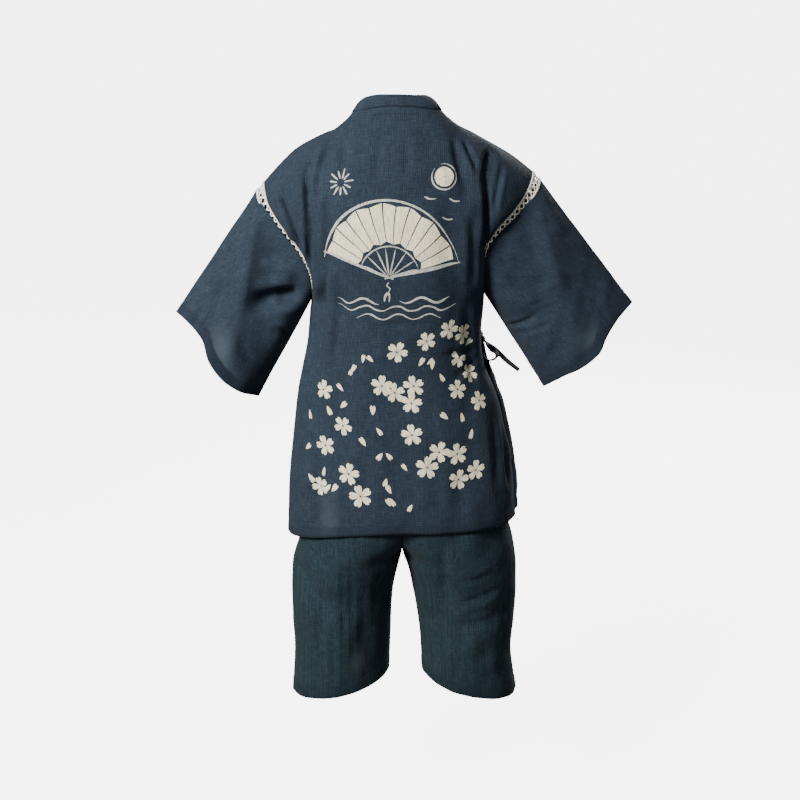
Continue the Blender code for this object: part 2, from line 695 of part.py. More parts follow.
def lace_pattern(pitches):
    """Flat pattern of a lace strip: points (pitches along, share across) and faces round its gaps."""
    points, faces = [], []

    def point(along_it, across_it):
        points.append((along_it, across_it))
        return len(points) - 1

    s, w, g = LACE_SELVEDGE, LACE_STRAND, LACE_HUB
    edge = {}
    for side_at, sign in ((0.0, 1.0), (1.0, -1.0)):
        rows = []
        for i in range(pitches + 1):
            rim = point(i, side_at)
            corner = point(i, side_at + sign * (s + LACE_CORNER))
            before = point(i - w, side_at + sign * s) if i > 0 else None
            after = point(i + w, side_at + sign * s) if i < pitches else None
            rows.append((rim, corner, before, after))
        edge[sign] = rows
        turned = []
        for i, (rim, corner, before, after) in enumerate(rows):
            if before is not None and after is not None:
                turned += [(rim, before, after), (before, corner, after)]
            elif after is not None:
                turned.append((rim, corner, after))
            else:
                turned.append((rim, before, corner))
            if i < pitches:
                turned.append((rim, after, rows[i + 1][2], rows[i + 1][0]))
        faces += turned if sign > 0 else [face[::-1] for face in turned]
    for i in range(pitches):
        left, right = point(i + 0.5 - w, 0.5), point(i + 0.5 + w, 0.5)
        top, bottom = point(i + 0.5, 0.5 - g), point(i + 0.5, 0.5 + g)
        faces.append((left, bottom, right, top))
        for sign, hub in ((1.0, top), (-1.0, bottom)):
            here, there = edge[sign][i], edge[sign][i + 1]
            strands = [(here[1], left, hub, here[3]), (hub, right, there[1], there[2])]
            faces += strands if sign > 0 else [face[::-1] for face in strands]
        if i == 0:
            faces.append((edge[1.0][0][1], edge[-1.0][0][1], left))
        if i == pitches - 1:
            faces.append((right, edge[-1.0][pitches][1], edge[1.0][pitches][1]))
    return np.array(points), faces


def lace_object(name, band, half, flip, finish):
    """One half of a lace insert, between the rings of its band, with its gaps cut through."""
    count = band.grid.shape[1]
    stops = [(half * ARM_ROWS + i) % count for i in range(ARM_ROWS + 1)]
    points, faces = lace_pattern(ARM_ROWS)
    width = np.linalg.norm(band.grid[1] - band.grid[0], axis=-1).mean()
    keep = SEAM_GAP / width
    across_it = np.clip(points[:, 1], keep, 1.0 - keep)[:, None]
    along_it = np.clip(points[:, 0], LACE_END_GAP, ARM_ROWS - LACE_END_GAP)
    k = np.minimum(along_it.astype(int), ARM_ROWS - 1)
    u = (along_it - k)[:, None]

    def spread(rings):
        lines = [ring[stops][k] * (1.0 - u) + ring[stops][k + 1] * u for ring in rings]
        return lines[0] * (1.0 - across_it) + lines[1] * across_it

    outer = spread(band.grid)
    normals = spread(band.normals)
    normals /= np.linalg.norm(normals, axis=-1)[:, None]
    if flip:
        faces = [face[::-1] for face in faces]
    return wall_object(name, outer, outer - normals * LACE, faces, finish)


def collar_object(back, fronts, finish):
    """Collar band, made from the panels' own points round the neck and down both free edges, moved out."""
    columns = back.grid.shape[1]
    reach = NECK_COLUMNS + BAND_COLUMNS
    middle = columns // 2
    chosen = [(back, np.zeros(back.grid.shape[:2], bool))]
    chosen[0][1][:2, middle - reach : middle + reach + 1] = True
    last = int(np.sum(rows_of_levels() < BAND_END_LEVEL))
    for front in fronts:
        mask = np.zeros(front.grid.shape[:2], bool)
        mask[:last, -BAND_COLUMNS - 1 :] = True
        chosen.append((front, mask))
    index, points, normals, faces = {}, [], [], []
    for panel, mask in chosen:
        flat = mask.ravel()
        for face in panel.faces:
            if not all(flat[i] for i in face):
                continue
            corners = []
            for i in face:
                point = panel.grid.reshape(-1, 3)[i]
                key = seam_key(point)
                if key not in index:
                    index[key] = len(points)
                    points.append(point)
                    normals.append(panel.normals.reshape(-1, 3)[i])
                corners.append(index[key])
            faces.append(tuple(corners))
    points, normals = np.array(points), np.array(normals)
    outer = points + normals * (LAYER_GAP + CLOTH)
    return wall_object("collar", outer, points + normals * LAYER_GAP, faces, finish)


def shorts_grid(side, face):
    """One panel of the shorts: rows from the waist to the hem, columns from the middle to the side."""
    drops = np.array(SHORTS_DROPS)
    names = "turn outer_left outer_right z_out inner_left inner_right z_in behind before lean"
    rows = between(SHORTS["drop"], columns_of(SHORTS, *names.split()), drops)
    turn, outer_l, outer_r, z_out, inner_l, inner_r, z_in, behind, before, lean = rows.T
    outer = (outer_l if side > 0 else outer_r)[:, None]
    inner = (inner_l if side > 0 else inner_r)[:, None]
    inner = inner + SHORTS_MIDDLE * (1.0 - smooth((drops[:, None] - 0.54) / 0.16))
    inner = np.maximum(inner * side, SHORTS_MIDDLE * side + SHORTS_CENTRE_GAP) * side
    start = -np.radians(np.clip(turn, 0.0, 90.0))[:, None]
    share = np.linspace(0.0, 1.0, SHORTS_COLUMNS + 1)[None, :]
    angle = start + (np.pi / 2.0 - start) * share
    radius = (outer - inner) / (1.0 - np.sin(start))
    depth = (behind if face > 0 else before)[:, None]
    level = np.clip((angle - start) / (np.pi / 2.0 - start), 0.0, 1.0)
    fall = smooth(level)
    sag = SHORTS_HEM_SAG * smooth((drops[:, None] - 0.6) / 0.4) * np.sin(np.pi * share)
    points = np.stack(
        [
            outer - radius * (1.0 - np.sin(angle)),
            lean[:, None] + face * depth * np.cos(angle),
            z_in[:, None] + (z_out - z_in)[:, None] * fall - sag,
        ],
        axis=-1,
    )
    if face < 0:
        return points
    hold = smooth(share / 0.15) * smooth((1.0 - share) / 0.12)
    return points + (pressed(points, SHORTS_FOLDS, 1) - points) * hold[..., None]


def shorts_panels():
    panels = []
    for side, hand in ((1, "left"), (-1, "right")):
        for face, place in ((1, "back"), (-1, "front")):
            # Rows run down and columns run from the middle out to the side.
            flip = side * face > 0
            grid = shorts_grid(side, face)
            panels.append(Panel(f"shorts_{place}_{hand}", grid, CLOTH, ("first", "last", "top"), flip=flip))
    return panels


def waistband_object(finish):
    """Elastic waistband: a straight band that carries on the shorts' top edge."""
    first = {name: values[0] for name, values in SHORTS.items()}
    angles = np.arange(WAISTBAND_SEGMENTS) * 2.0 * np.pi / WAISTBAND_SEGMENTS
    rings = []
    for layer in (0.0, CLOTH):
        for z in (first["z_out"] + WAISTBAND_HEIGHT, first["z_out"] + SEAM_GAP / 2.0):
            depth = np.where(np.cos(angles) > 0, first["behind"], first["before"]) - layer
            half = np.where(np.sin(angles) > 0, first["outer_left"], -first["outer_right"]) - layer
            line = [half * np.sin(angles), depth * np.cos(angles), np.full_like(angles, z)]
            rings.append(np.stack(line, axis=-1))
    outer = np.concatenate(rings[:2])
    inner = np.concatenate(rings[2:])
    top_first = outer.reshape(2, WAISTBAND_SEGMENTS, 3)
    faces = [face[::-1] for face in grid_faces(top_first, True)]
    return wall_object("shorts_waistband", outer, inner, faces, finish)


def on_front(across, level, off):
    """A point that stands off the outer front."""
    here = front_surface(across, level, 1)
    step = 0.01
    run = front_surface(across + step, level, 1) - front_surface(across - step, level, 1)
    fall = front_surface(across, level + step, 1) - front_surface(across, level - step, 1)
    normal = np.cross(fall, run)
    return here + normal / np.linalg.norm(normal) * off


def seated(point, clear):
    """The point drawn in along its own direction until its middle line is clear of the knot."""
    away = point - np.array(TIE_KNOT)
    surface = away / np.linalg.norm(away / np.array(TIE_KNOT_SIZE))
    return np.array(TIE_KNOT) + surface + away / np.linalg.norm(away) * clear


def tape_object(name, rows, knotted, clear, finish):
    """A flat tape along its table's line. The ends in knotted start at the knot, clear of it."""
    if "off" in rows:
        path = np.array([on_front(*spot) for spot in zip(rows["across"], rows["level"], rows["off"])])
    else:
        path = columns_of(rows, "x", "y", "z")
    for end in knotted:
        path[end] = seated(path[end], clear)
    stations = np.linspace(0.0, 1.0, TIE_STRETCHES * (len(path) - 1) + 1)
    chord = np.concatenate([[0.0], np.cumsum(np.linalg.norm(np.diff(path, axis=0), axis=1))])
    line = along(path, stations)
    facing = between(chord / chord[-1], columns_of(rows, "face_x", "face_y", "face_z"), stations)
    run = np.gradient(line, axis=0)
    run /= np.linalg.norm(run, axis=-1)[:, None]
    width = np.cross(facing, run)
    width /= np.linalg.norm(width, axis=-1)[:, None]
    normal = np.cross(run, width)
    half = np.full(len(stations), TIE_WIDTH / 2.0)
    for end in knotted:
        reach = stations if end == 0 else 1.0 - stations
        half *= TIE_GATHER + (1.0 - TIE_GATHER) * smooth(reach / TIE_GATHER_LENGTH)
    edges = np.stack([line - width * half[:, None], line + width * half[:, None]], axis=1)
    outer = edges + normal[:, None] * TAPE / 2.0
    inner = edges - normal[:, None] * TAPE / 2.0
    faces = grid_faces(edges, False)
    return wall_object(name, outer.reshape(-1, 3), inner.reshape(-1, 3), faces, finish)


def tie_objects(finish):
    """The bow at the wearer's right side: its knot, two loops, two tails and the roots they are sewn by."""
    bpy.ops.mesh.primitive_uv_sphere_add(segments=12, ring_count=8, radius=1.0, location=TIE_KNOT)
    knot = bpy.context.object
    knot.name = "tie_knot"
    knot.data.name = "tie_knot"
    knot.scale = TIE_KNOT_SIZE
    bpy.ops.object.transform_apply(location=False, rotation=False, scale=True)
    knot.data.shade_smooth()
    knot.data.materials.append(finish)
    # The last number before the finish keeps the corners of each tape's end just off the knot.
    tape_object("tie_loop_behind", TIE_LOOP_BEHIND, (0, -1), 0.0012, finish)
    tape_object("tie_tail_behind", TIE_TAIL_BEHIND, (0,), 0.0027, finish)
    tape_object("tie_root_side", TIE_ROOT_SIDE, (-1,), 0.0013, finish)
    tape_object("tie_loop_before", TIE_LOOP_BEFORE, (0, -1), 0.0027, finish)
    tape_object("tie_tail_before", TIE_TAIL_BEFORE, (0,), 0.0008, finish)
    tape_object("tie_root_before", TIE_ROOT_BEFORE, (-1,), 0.0007, finish)


def material(name, colour, roughness):
    made = bpy.data.materials.new(name)
    made.use_nodes = True
    shader = made.node_tree.nodes["Principled BSDF"]
    linear = [c / 12.92 if c <= 0.04045 else ((c + 0.055) / 1.055) ** 2.4 for c in colour]
    shader.inputs["Base Color"].default_value = (*linear, 1.0)
    shader.inputs["Roughness"].default_value = roughness
    shader.inputs["Metallic"].default_value = 0.0
    return made


def jacket_panels():
    """The jacket's body and sleeves, and the rings that hold the lace."""
    body_panels = [
        Panel("jacket_back", back_grid(), CLOTH, ("first", "last", "top"), flip=True),
        Panel("jacket_front_left", front_grid(1), CLOTH, ("first", "top"), flip=True),
        Panel("jacket_front_right", front_grid(-1), CLOTH, ("first", "top")),
    ]
    sleeves = [
        Panel("sleeve_left", sleeve_grid(1), CLOTH, ("top",), wrap=True, group="arm"),
        Panel("sleeve_right", sleeve_grid(-1), CLOTH, ("top",), wrap=True, flip=True, group="arm"),
    ]
    bands = [
        Panel("left", np.stack([arm_ring(1), lace_ring(1)]), LACE, wrap=True, group="lace"),
        Panel("right", np.stack([arm_ring(-1), lace_ring(-1)]), LACE, wrap=True, flip=True, group="lace"),
    ]
    share_seam_normals(body_panels + sleeves + bands)
    return body_panels + sleeves, bands


def main():
    for old in list(bpy.data.objects):
        bpy.data.objects.remove(old)
    cotton = material("cotton_jacket", NAVY, 0.85)
    shorts_cotton = material("cotton_shorts", TEAL_NAVY, 0.85)
    lace = material("lace", CREAM, 0.8)
    tape = material("tie_tape", DARK, 0.8)
    panels, bands = jacket_panels()
    for panel in panels:
        panel_object(panel, cotton)
    for band in bands:
        for half, place in ((0, "back"), (1, "front")):
            lace_object(f"lace_{band.name}_{place}", band, half, band.flip, lace)
    collar_object(panels[0], panels[1:3], cotton)
    legs = shorts_panels()
    share_seam_normals(legs)
    for panel in legs:
        panel_object(panel, shorts_cotton)
    waistband_object(shorts_cotton)
    tie_objects(tape)


main()
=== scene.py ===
# %% [markdown]
# A jinbei set, seen as it is worn
# A jinbei is a light summer outfit: a wrapped cotton jacket that ties at the side, and knee shorts. This one keeps the
# shape of a wearer who isn't there. The imported solids are loaded as a fixed frame, and each of them is then dressed
# with a thin sheet of cloth that has the folds, weave, seams and prints. Dressing the solids keeps every size and
# place.

# %% Load the frame
import math

import bmesh
import bpy
import numpy as np
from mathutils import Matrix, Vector


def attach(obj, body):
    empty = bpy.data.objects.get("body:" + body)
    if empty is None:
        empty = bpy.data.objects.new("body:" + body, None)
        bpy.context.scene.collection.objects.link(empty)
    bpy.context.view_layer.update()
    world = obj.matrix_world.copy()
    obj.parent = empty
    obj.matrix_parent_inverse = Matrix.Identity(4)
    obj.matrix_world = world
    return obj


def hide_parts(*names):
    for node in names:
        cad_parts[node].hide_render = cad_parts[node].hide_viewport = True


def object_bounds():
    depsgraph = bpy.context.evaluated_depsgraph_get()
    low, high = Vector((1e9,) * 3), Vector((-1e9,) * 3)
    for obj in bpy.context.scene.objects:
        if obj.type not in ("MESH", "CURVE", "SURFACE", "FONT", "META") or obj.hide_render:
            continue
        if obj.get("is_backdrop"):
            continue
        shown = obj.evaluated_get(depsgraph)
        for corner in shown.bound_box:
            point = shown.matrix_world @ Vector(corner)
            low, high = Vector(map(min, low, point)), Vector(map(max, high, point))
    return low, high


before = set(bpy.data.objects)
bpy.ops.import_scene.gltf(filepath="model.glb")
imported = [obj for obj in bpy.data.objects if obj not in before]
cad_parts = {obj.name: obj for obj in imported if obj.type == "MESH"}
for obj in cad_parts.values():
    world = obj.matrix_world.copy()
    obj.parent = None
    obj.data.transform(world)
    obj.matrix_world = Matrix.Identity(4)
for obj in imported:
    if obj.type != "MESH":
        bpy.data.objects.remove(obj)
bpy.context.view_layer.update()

# %% [markdown]
# The camera comes first, because it decides what is seen of everything else. The picture was taken from behind, a little above
# the shoulders and about two metres away. A lens is worked out from how many pixels a metre takes at one metre, and the small
# shift lifts the set to its place in the square frame.

# %% Camera
PIXELS_PER_METRE_AT_ONE = 1106.47
PICTURE_SIDE = 800.0
SENSOR_WIDTH = 36.0
CAMERA_TILT = 17.4146
camera_data = bpy.data.cameras.new("camera")
camera_data.sensor_width = SENSOR_WIDTH
camera_data.lens = SENSOR_WIDTH * PIXELS_PER_METRE_AT_ONE / PICTURE_SIDE
camera_data.shift_y = 16.7 / PICTURE_SIDE
camera = bpy.data.objects.new("camera", camera_data)
camera.location = (0.0, 2.0, 0.05304)
camera.rotation_euler = (math.pi / 2.0 - math.radians(CAMERA_TILT), 0.0, math.pi)
bpy.context.scene.collection.objects.link(camera)
bpy.context.scene.camera = camera
print("lens in mm:", round(camera_data.lens, 2))

# %% [markdown]
# Cloth is described by short tables, as a pattern cutter notes a few measures and draws smooth lines through them. Between two
# rows of a table the value follows a soft curve. Lengths are in metres, and folds, creases and the places of blossoms in
# millimetres. The front of the wearer faces -Y and the wearer's left is +X.

# %% Tables and smooth lines
def table(columns, *rows):
    """A short table, a dict of named columns."""
    return {name: np.array([row[i] for row in rows], float) for i, name in enumerate(columns.split())}


def smooth(value):
    """0 to 1 with soft ends."""
    value = np.clip(value, 0.0, 1.0)
    return value * value * (3.0 - 2.0 * value)


def slopes(at, values):
    """Slope of a smooth curve through each point of a table."""
    steps = np.diff(values, axis=0) / np.diff(at)[:, None]
    inner = steps[1:] * np.diff(at)[:-1, None] + steps[:-1] * np.diff(at)[1:, None]
    return np.vstack([steps[:1], inner / (at[2:] - at[:-2])[:, None], steps[-1:]])


def between(at, values, wanted):
    """Smooth values of a table at the wanted places."""
    at, values = np.asarray(at, float), np.asarray(values, float)
    flat = values.ndim == 1
    values = values[:, None] if flat else values
    wanted = np.clip(np.asarray(wanted, float), at[0], at[-1])
    shape = wanted.shape
    wanted = wanted.ravel()
    k = np.clip(np.searchsorted(at, wanted, side="right") - 1, 0, len(at) - 2)
    width = (at[k + 1] - at[k])[:, None]
    u = (wanted - at[k])[:, None] / width
    m = slopes(at, values)
    result = (
        (2 * u**3 - 3 * u**2 + 1) * values[k]
        + (u**3 - 2 * u**2 + u) * width * m[k]
        + (3 * u**2 - 2 * u**3) * values[k + 1]
        + (u**3 - u**2) * width * m[k + 1]
    )
    return result.reshape(shape) if flat else result.reshape(shape + (values.shape[1],))


def unit(vectors):
    """The same directions, each with a length of 1."""
    return vectors / np.linalg.norm(vectors, axis=-1)[..., None]


def run_along(points):
    """How far along a line each of its points is."""
    return np.concatenate([[0.0], np.cumsum(np.linalg.norm(np.diff(points, axis=0), axis=1))])


def along(points, shares):
    """Points of a smooth curve at the given shares of its length."""
    points = np.asarray(points, float)
    chord = run_along(points)
    fine = between(chord, points, np.linspace(0.0, chord[-1], 400))
    run = run_along(fine)
    wanted = np.asarray(shares, float) * run[-1]
    return np.stack([np.interp(wanted, run, fine[:, i]) for i in range(3)], axis=-1)


def columns_of(rows, names):
    """Named columns of a table side by side."""
    return np.stack([rows[name] for name in names.split()], axis=-1)


# %% [markdown]
# The jacket's body is a soft tube that hangs from the shoulders. The first table gives the middle of the back and of the front,
# the second the side seams below the armpit, and the third the ridge of each shoulder, from the collar's edge to the armhole.
# A level of 0 is the top edge, 1 the armpit and 2 the hem.

# %% Measures of the jacket's body
MIDDLE = table(
    "level back_y back_z front_y front_z square",
    (0.0, 0.056, 0.012, -0.052, -0.070, 2.0),
    (0.0625, 0.067, -0.006, -0.060, -0.082, 2.0),
    (0.125, 0.083, -0.030, -0.068, -0.095, 2.0),
    (0.25, 0.102, -0.075, -0.082, -0.120, 2.1),
    (0.5, 0.118, -0.165, -0.100, -0.185, 2.2),
    (0.75, 0.120, -0.252, -0.108, -0.262, 2.2),
    (1.0, 0.112, -0.338, -0.107, -0.342, 2.2),
    (1.2, 0.105, -0.425, -0.106, -0.428, 2.2),
    (1.4, 0.108, -0.512, -0.112, -0.515, 2.2),
    (1.6, 0.119, -0.600, -0.121, -0.605, 2.2),
    (1.8, 0.129, -0.690, -0.129, -0.700, 2.3),
    (2.0, 0.134, -0.759, -0.133, -0.782, 2.3),
)
SIDES = table(
    "level left_x left_z right_x right_z",
    (1.0, 0.160, -0.345, -0.154, -0.337),
    (1.2, 0.172, -0.431, -0.150, -0.425),
    (1.3, 0.181, -0.472, -0.156, -0.468),
    (1.4, 0.190, -0.514, -0.175, -0.512),
    (1.6, 0.202, -0.603, -0.200, -0.600),
    (1.8, 0.213, -0.702, -0.217, -0.688),
    (2.0, 0.217, -0.797, -0.222, -0.764),
)
RIDGE_LEFT = table(
    "x y z",
    (0.063, 0.020, 0.004),
    (0.069, 0.018, -0.014),
    (0.084, 0.012, -0.031),
    (0.139, 0.003, -0.055),
    (0.186, 0.000, -0.081),
    (0.214, 0.000, -0.107),
    (0.242, 0.000, -0.137),
)
RIDGE_RIGHT = table(
    "x y z",
    (-0.046, 0.020, 0.009),
    (-0.055, 0.018, -0.010),
    (-0.070, 0.012, -0.026),
    (-0.112, 0.003, -0.045),
    (-0.155, 0.000, -0.066),
    (-0.199, 0.000, -0.091),
    (-0.236, 0.000, -0.119),
)
ARMPIT, HEM, NECK_SHARE = 1.0, 2.0, 0.25

# %% [markdown]
# The sleeves are joined by an open strip of lace, so each armhole has two rings: the edge of the body and the edge of the sleeve.
# The tables give the armhole, the step from it to the sleeve's edge, and the cuff, each from its highest to its lowest point.

# %% Measures of the armholes, the lace and the cuffs
ARMHOLE_LEFT = table(
    "x z behind before",
    (0.242, -0.137, 0.000, 0.000),
    (0.239, -0.149, 0.020, 0.019),
    (0.231, -0.172, 0.037, 0.034),
    (0.213, -0.201, 0.050, 0.046),
    (0.193, -0.226, 0.058, 0.053),
    (0.171, -0.257, 0.063, 0.055),
    (0.158, -0.288, 0.060, 0.051),
    (0.155, -0.322, 0.043, 0.036),
    (0.160, -0.345, 0.000, 0.000),
)
ARMHOLE_RIGHT = table(
    "x z behind before",
    (-0.236, -0.119, 0.000, 0.000),
    (-0.232, -0.131, 0.020, 0.019),
    (-0.219, -0.154, 0.040, 0.036),
    (-0.197, -0.183, 0.054, 0.048),
    (-0.171, -0.210, 0.062, 0.054),
    (-0.153, -0.238, 0.063, 0.055),
    (-0.149, -0.276, 0.058, 0.049),
    (-0.149, -0.312, 0.040, 0.034),
    (-0.154, -0.337, 0.000, 0.000),
)
LACE_STEP = table(
    "level out inward down",
    (0.0, 0.0130, 0.0000, 0.0135),
    (0.12, 0.0128, 0.0045, 0.0130),
    (0.3, 0.0100, 0.0110, 0.0110),
    (0.5, 0.0090, 0.0130, 0.0100),
    (0.75, 0.0095, 0.0110, 0.0120),
    (1.0, 0.0100, 0.0000, 0.0170),
)
LACE_SHOWN = table(
    "level behind_left behind_right before_left before_right",
    (0.0, 1.00, 1.00, 1.00, 1.00),
    (0.10, 0.92, 0.95, 0.95, 0.95),
    (0.20, 0.52, 0.82, 0.85, 0.85),
    (0.42, 0.46, 0.76, 0.78, 0.78),
    (0.56, 0.38, 0.48, 0.70, 0.66),
    (0.64, 0.34, 0.12, 0.62, 0.50),
    (0.80, 0.32, 0.05, 0.45, 0.25),
    (1.00, 0.30, 0.05, 0.30, 0.05),
)
CUFF_LEFT = table(
    "x z behind before",
    (0.412, -0.372, 0.000, 0.000),
    (0.386, -0.384, 0.030, 0.030),
    (0.358, -0.415, 0.050, 0.050),
    (0.347, -0.452, 0.058, 0.056),
    (0.325, -0.488, 0.054, 0.050),
    (0.294, -0.516, 0.036, 0.032),
    (0.266, -0.533, 0.000, 0.000),
)
CUFF_RIGHT = table(
    "x z behind before",
    (-0.426, -0.354, 0.000, 0.000),
    (-0.392, -0.386, 0.030, 0.030),
    (-0.374, -0.412, 0.046, 0.046),
    (-0.363, -0.436, 0.054, 0.052),
    (-0.340, -0.458, 0.056, 0.052),
    (-0.303, -0.482, 0.044, 0.040),
    (-0.270, -0.514, 0.000, 0.000),
)

# %% [markdown]
# A worn jacket hangs in broad troughs where the cloth has more width than the body needs. These are the ones that the solids
# have too: straight and soft, each from one point to another as seen square on.

# %% Broad folds
MILLIMETRES = 1000.0
BACK_FOLDS = (
    (118, -60, 140, -135, 12, 6),
    (158, -105, 152, -265, 14, 10),
    (128, -110, 122, -250, 14, 6),
    (196, -135, 166, -225, 12, 6),
    (-96, -55, -110, -140, 12, 6),
    (-152, -85, -150, -245, 14, 11),
    (-85, -160, -92, -330, 20, 4),
    (105, -420, 120, -640, 30, 5),
    (-110, -420, -128, -660, 30, 5),
    (0, -520, -6, -720, 40, 4),
)
FRONT_FOLDS = (
    (150, -150, 140, -300, 18, 6),
    (-150, -130, -135, -290, 18, 6),
    (100, -400, 125, -680, 35, 4),
    (-90, -520, -110, -740, 35, 4),
)
SLEEVE_FOLDS_LEFT = (
    (196, -325, 245, -345, 20, 12),
    (262, -230, 302, -420, 24, -7),
    (225, -270, 262, -470, 22, 6),
    (318, -330, 322, -450, 22, 5),
)
SLEEVE_FOLDS_RIGHT = (
    (-232, -375, -265, -355, 22, 6),
    (-215, -300, -250, -320, 24, 4),
    (-275, -235, -315, -390, 26, -6),
    (-322, -330, -340, -420, 24, 3),
)
SHORTS_FOLDS = (
    (196, -850, 150, -905, 18, 10),
    (120, -880, 115, -1060, 22, -5),
    (60, -980, 50, -1080, 22, 4),
    (-88, -880, -84, -975, 20, 5),
    (-125, -960, -185, -945, 18, 7),
    (-60, -960, -84, -1010, 18, 6),
)


def pressed(points, folds, face):
    """Points with the broad folds pressed into them. face is 1 on the back and -1 on the front."""
    points = points.copy()
    for x0, z0, x1, z1, width, depth in np.array(folds) / MILLIMETRES:
        run = np.array([x1 - x0, z1 - z0])
        length = np.linalg.norm(run)
        away = np.stack([points[..., 0] - x0, points[..., 2] - z0], axis=-1)
        share = (away @ run) / length**2
        across = (away[..., 0] * run[1] - away[..., 1] * run[0]) / length
        beyond = np.maximum(np.maximum(-share, share - 1.0), 0.0) * length
        points[..., 1] -= face * depth * np.exp(-((across / width) ** 2) - (beyond / (1.5 * width)) ** 2)
    return points


# %% [markdown]
# The surface of the body is worked out at any place from the tables: how far across, from the wearer's right side seam at -1 to
# the left one at 1, and how far down. A formula is used rather than a sculpted mesh, because every other part, such as the
# collar, the lace and the stitches, can then ask for the same surface and lie exactly on it.

# %% Surface of the jacket's body
def half_ring(rows, face, level):
    """The half of a ring behind the arm, face 1, or in front of it, face -1."""
    depth = rows["behind"] if face > 0 else -rows["before"]
    return along(np.stack([rows["x"], depth, rows["z"]], axis=-1), level)


def armhole(side, face, level):
    return half_ring(ARMHOLE_LEFT if side > 0 else ARMHOLE_RIGHT, face, level)


def side_point(side, face, level):
    """Side edge of the body: the armhole above the armpit, the side seam below it."""
    names = "left_x left_z" if side > 0 else "right_x right_z"
    low = between(SIDES["level"], columns_of(SIDES, names), np.maximum(level, ARMPIT))
    seam = np.stack([low[..., 0], np.zeros_like(low[..., 0]), low[..., 1]], axis=-1)
    hole = armhole(side, face, np.minimum(level, ARMPIT).ravel()).reshape(level.shape + (3,))
    return np.where((level < ARMPIT)[..., None], hole, seam)


def ridge(across):
    """Top edge of the body beside the neck, out to the armhole."""
    share = np.clip((np.abs(across) - NECK_SHARE) / (1.0 - NECK_SHARE), 0.0, 1.0)
    left = along(columns_of(RIDGE_LEFT, "x y z"), share.ravel()).reshape(share.shape + (3,))
    right = along(columns_of(RIDGE_RIGHT, "x y z"), share.ravel()).reshape(share.shape + (3,))
    return np.where((across > 0)[..., None], left, right)


def top_edge(across, face):
    """The whole top edge: half an oval round the neck, then the ridge of each shoulder."""
    beside = np.where(np.abs(across) < NECK_SHARE, np.where(across > 0, NECK_SHARE, -NECK_SHARE), across)
    turn = np.clip(across / NECK_SHARE, -1.0, 1.0) * np.pi / 2.0
    left, right = ridge(np.full_like(across, NECK_SHARE)), ridge(np.full_like(across, -NECK_SHARE))
    corner = np.where((across > 0)[..., None], left, right)
    depth, height = (MIDDLE[name][0] for name in (("back_y", "back_z") if face > 0 else ("front_y", "front_z")))
    middle, half = (left + right)[..., 0] / 2.0, (left - right)[..., 0] / 2.0
    neck = [
        middle + half * np.sin(turn),
        corner[..., 1] + (depth - corner[..., 1]) * np.cos(turn),
        corner[..., 2] + (height - corner[..., 2]) * np.cos(turn),
    ]
    return np.where((np.abs(across) < NECK_SHARE)[..., None], np.stack(neck, axis=-1), ridge(beside))


def plain_body(across, level, face):
    """Body of the jacket before its shoulders are set on the ridge."""
    middle = between(MIDDLE["level"], columns_of(MIDDLE, "back_y back_z" if face > 0 else "front_y front_z"), level)
    square = between(MIDDLE["level"], MIDDLE["square"], level)
    left, right = side_point(1, face, level), side_point(-1, face, level)
    edge = np.where((across > 0)[..., None], left, right)
    middle_x = (left[..., 0] + right[..., 0]) / 2.0
    turn = np.abs(across) * np.pi / 2.0
    out = np.sin(turn) ** (2.0 / square)
    deep = np.clip(np.cos(turn), 0.0, 1.0) ** (2.0 / square)
    return np.stack(
        [
            middle_x + (edge[..., 0] - middle_x) * out,
            edge[..., 1] + (middle[..., 0] - edge[..., 1]) * deep,
            middle[..., 1] + (edge[..., 2] - middle[..., 1]) * out**2,
        ],
        axis=-1,
    )


def body(across, level, face):
    """Surface of the jacket's body on its back, face 1, or its front, face -1."""
    across, level = (np.array(v) for v in np.broadcast_arrays(np.asarray(across, float), np.asarray(level, float)))
    points = plain_body(across, level, face)
    set_off = top_edge(across, face) - plain_body(across, np.zeros_like(level), face)
    reach = np.sqrt(np.clip(level / 0.5, 0.0, 1.0))
    points = points + set_off * ((1.0 - reach) ** 2)[..., None]
    folded = pressed(points, BACK_FOLDS if face > 0 else FRONT_FOLDS, face)
    hold = smooth(level / 0.12) * smooth((1.0 - np.abs(across)) / 0.12)
    return points + (folded - points) * hold[..., None]


print("hem of the back in mm:", (body(np.array([-1.0, 0.0, 1.0]), 2.0, 1) * 1000).round().tolist())

# %% [markdown]
# The fronts wrap: the wearer's left one lies outside and reaches the right side seam, the right one lies under it. Each is the
# same surface moved in or out a little, up to where its free edge runs. The collar band is sewn along that edge.

# %% Surface of the fronts
COLLAR = table(
    "edge_level edge_at seam_level seam_at",
    (0.0, 0.25, 0.0, 0.325),
    (0.10, 0.25, 0.11, 0.38),
    (0.25, 0.22, 0.28, 0.37),
    (0.45, 0.15, 0.50, 0.31),
    (0.65, 0.06, 0.73, 0.22),
    (0.85, -0.07, 0.94, 0.10),
    (1.0, -0.22, 1.10, -0.04),
    (1.12, -0.41, 1.22, -0.20),
    (1.22, -0.64, 1.31, -0.40),
    (1.31, -0.90, 1.38, -0.64),
)
BAND_END_LEVEL = 1.32
FULL_WRAP_LEVEL = 1.36
LAYERS = table(
    "at outer inner",
    (-1.0, 0.0105, -0.0090),
    (-0.6, 0.0100, -0.0090),
    (0.0, 0.0075, -0.0020),
    (0.6, 0.0020, 0.0000),
    (1.0, 0.0000, 0.0000),
)
LAYER_FADE = 0.30


def free_edge(level):
    """How far across the front the free edge of the outer front lies."""
    at = np.append(COLLAR["edge_level"], (FULL_WRAP_LEVEL, HEM))
    return np.maximum(between(at, np.append(COLLAR["edge_at"], (-1.0, -1.0)), level), -1.0)


def band_seam(level):
    """How far across the front the seam of the collar band lies."""
    return between(COLLAR["seam_level"], COLLAR["seam_at"], level)


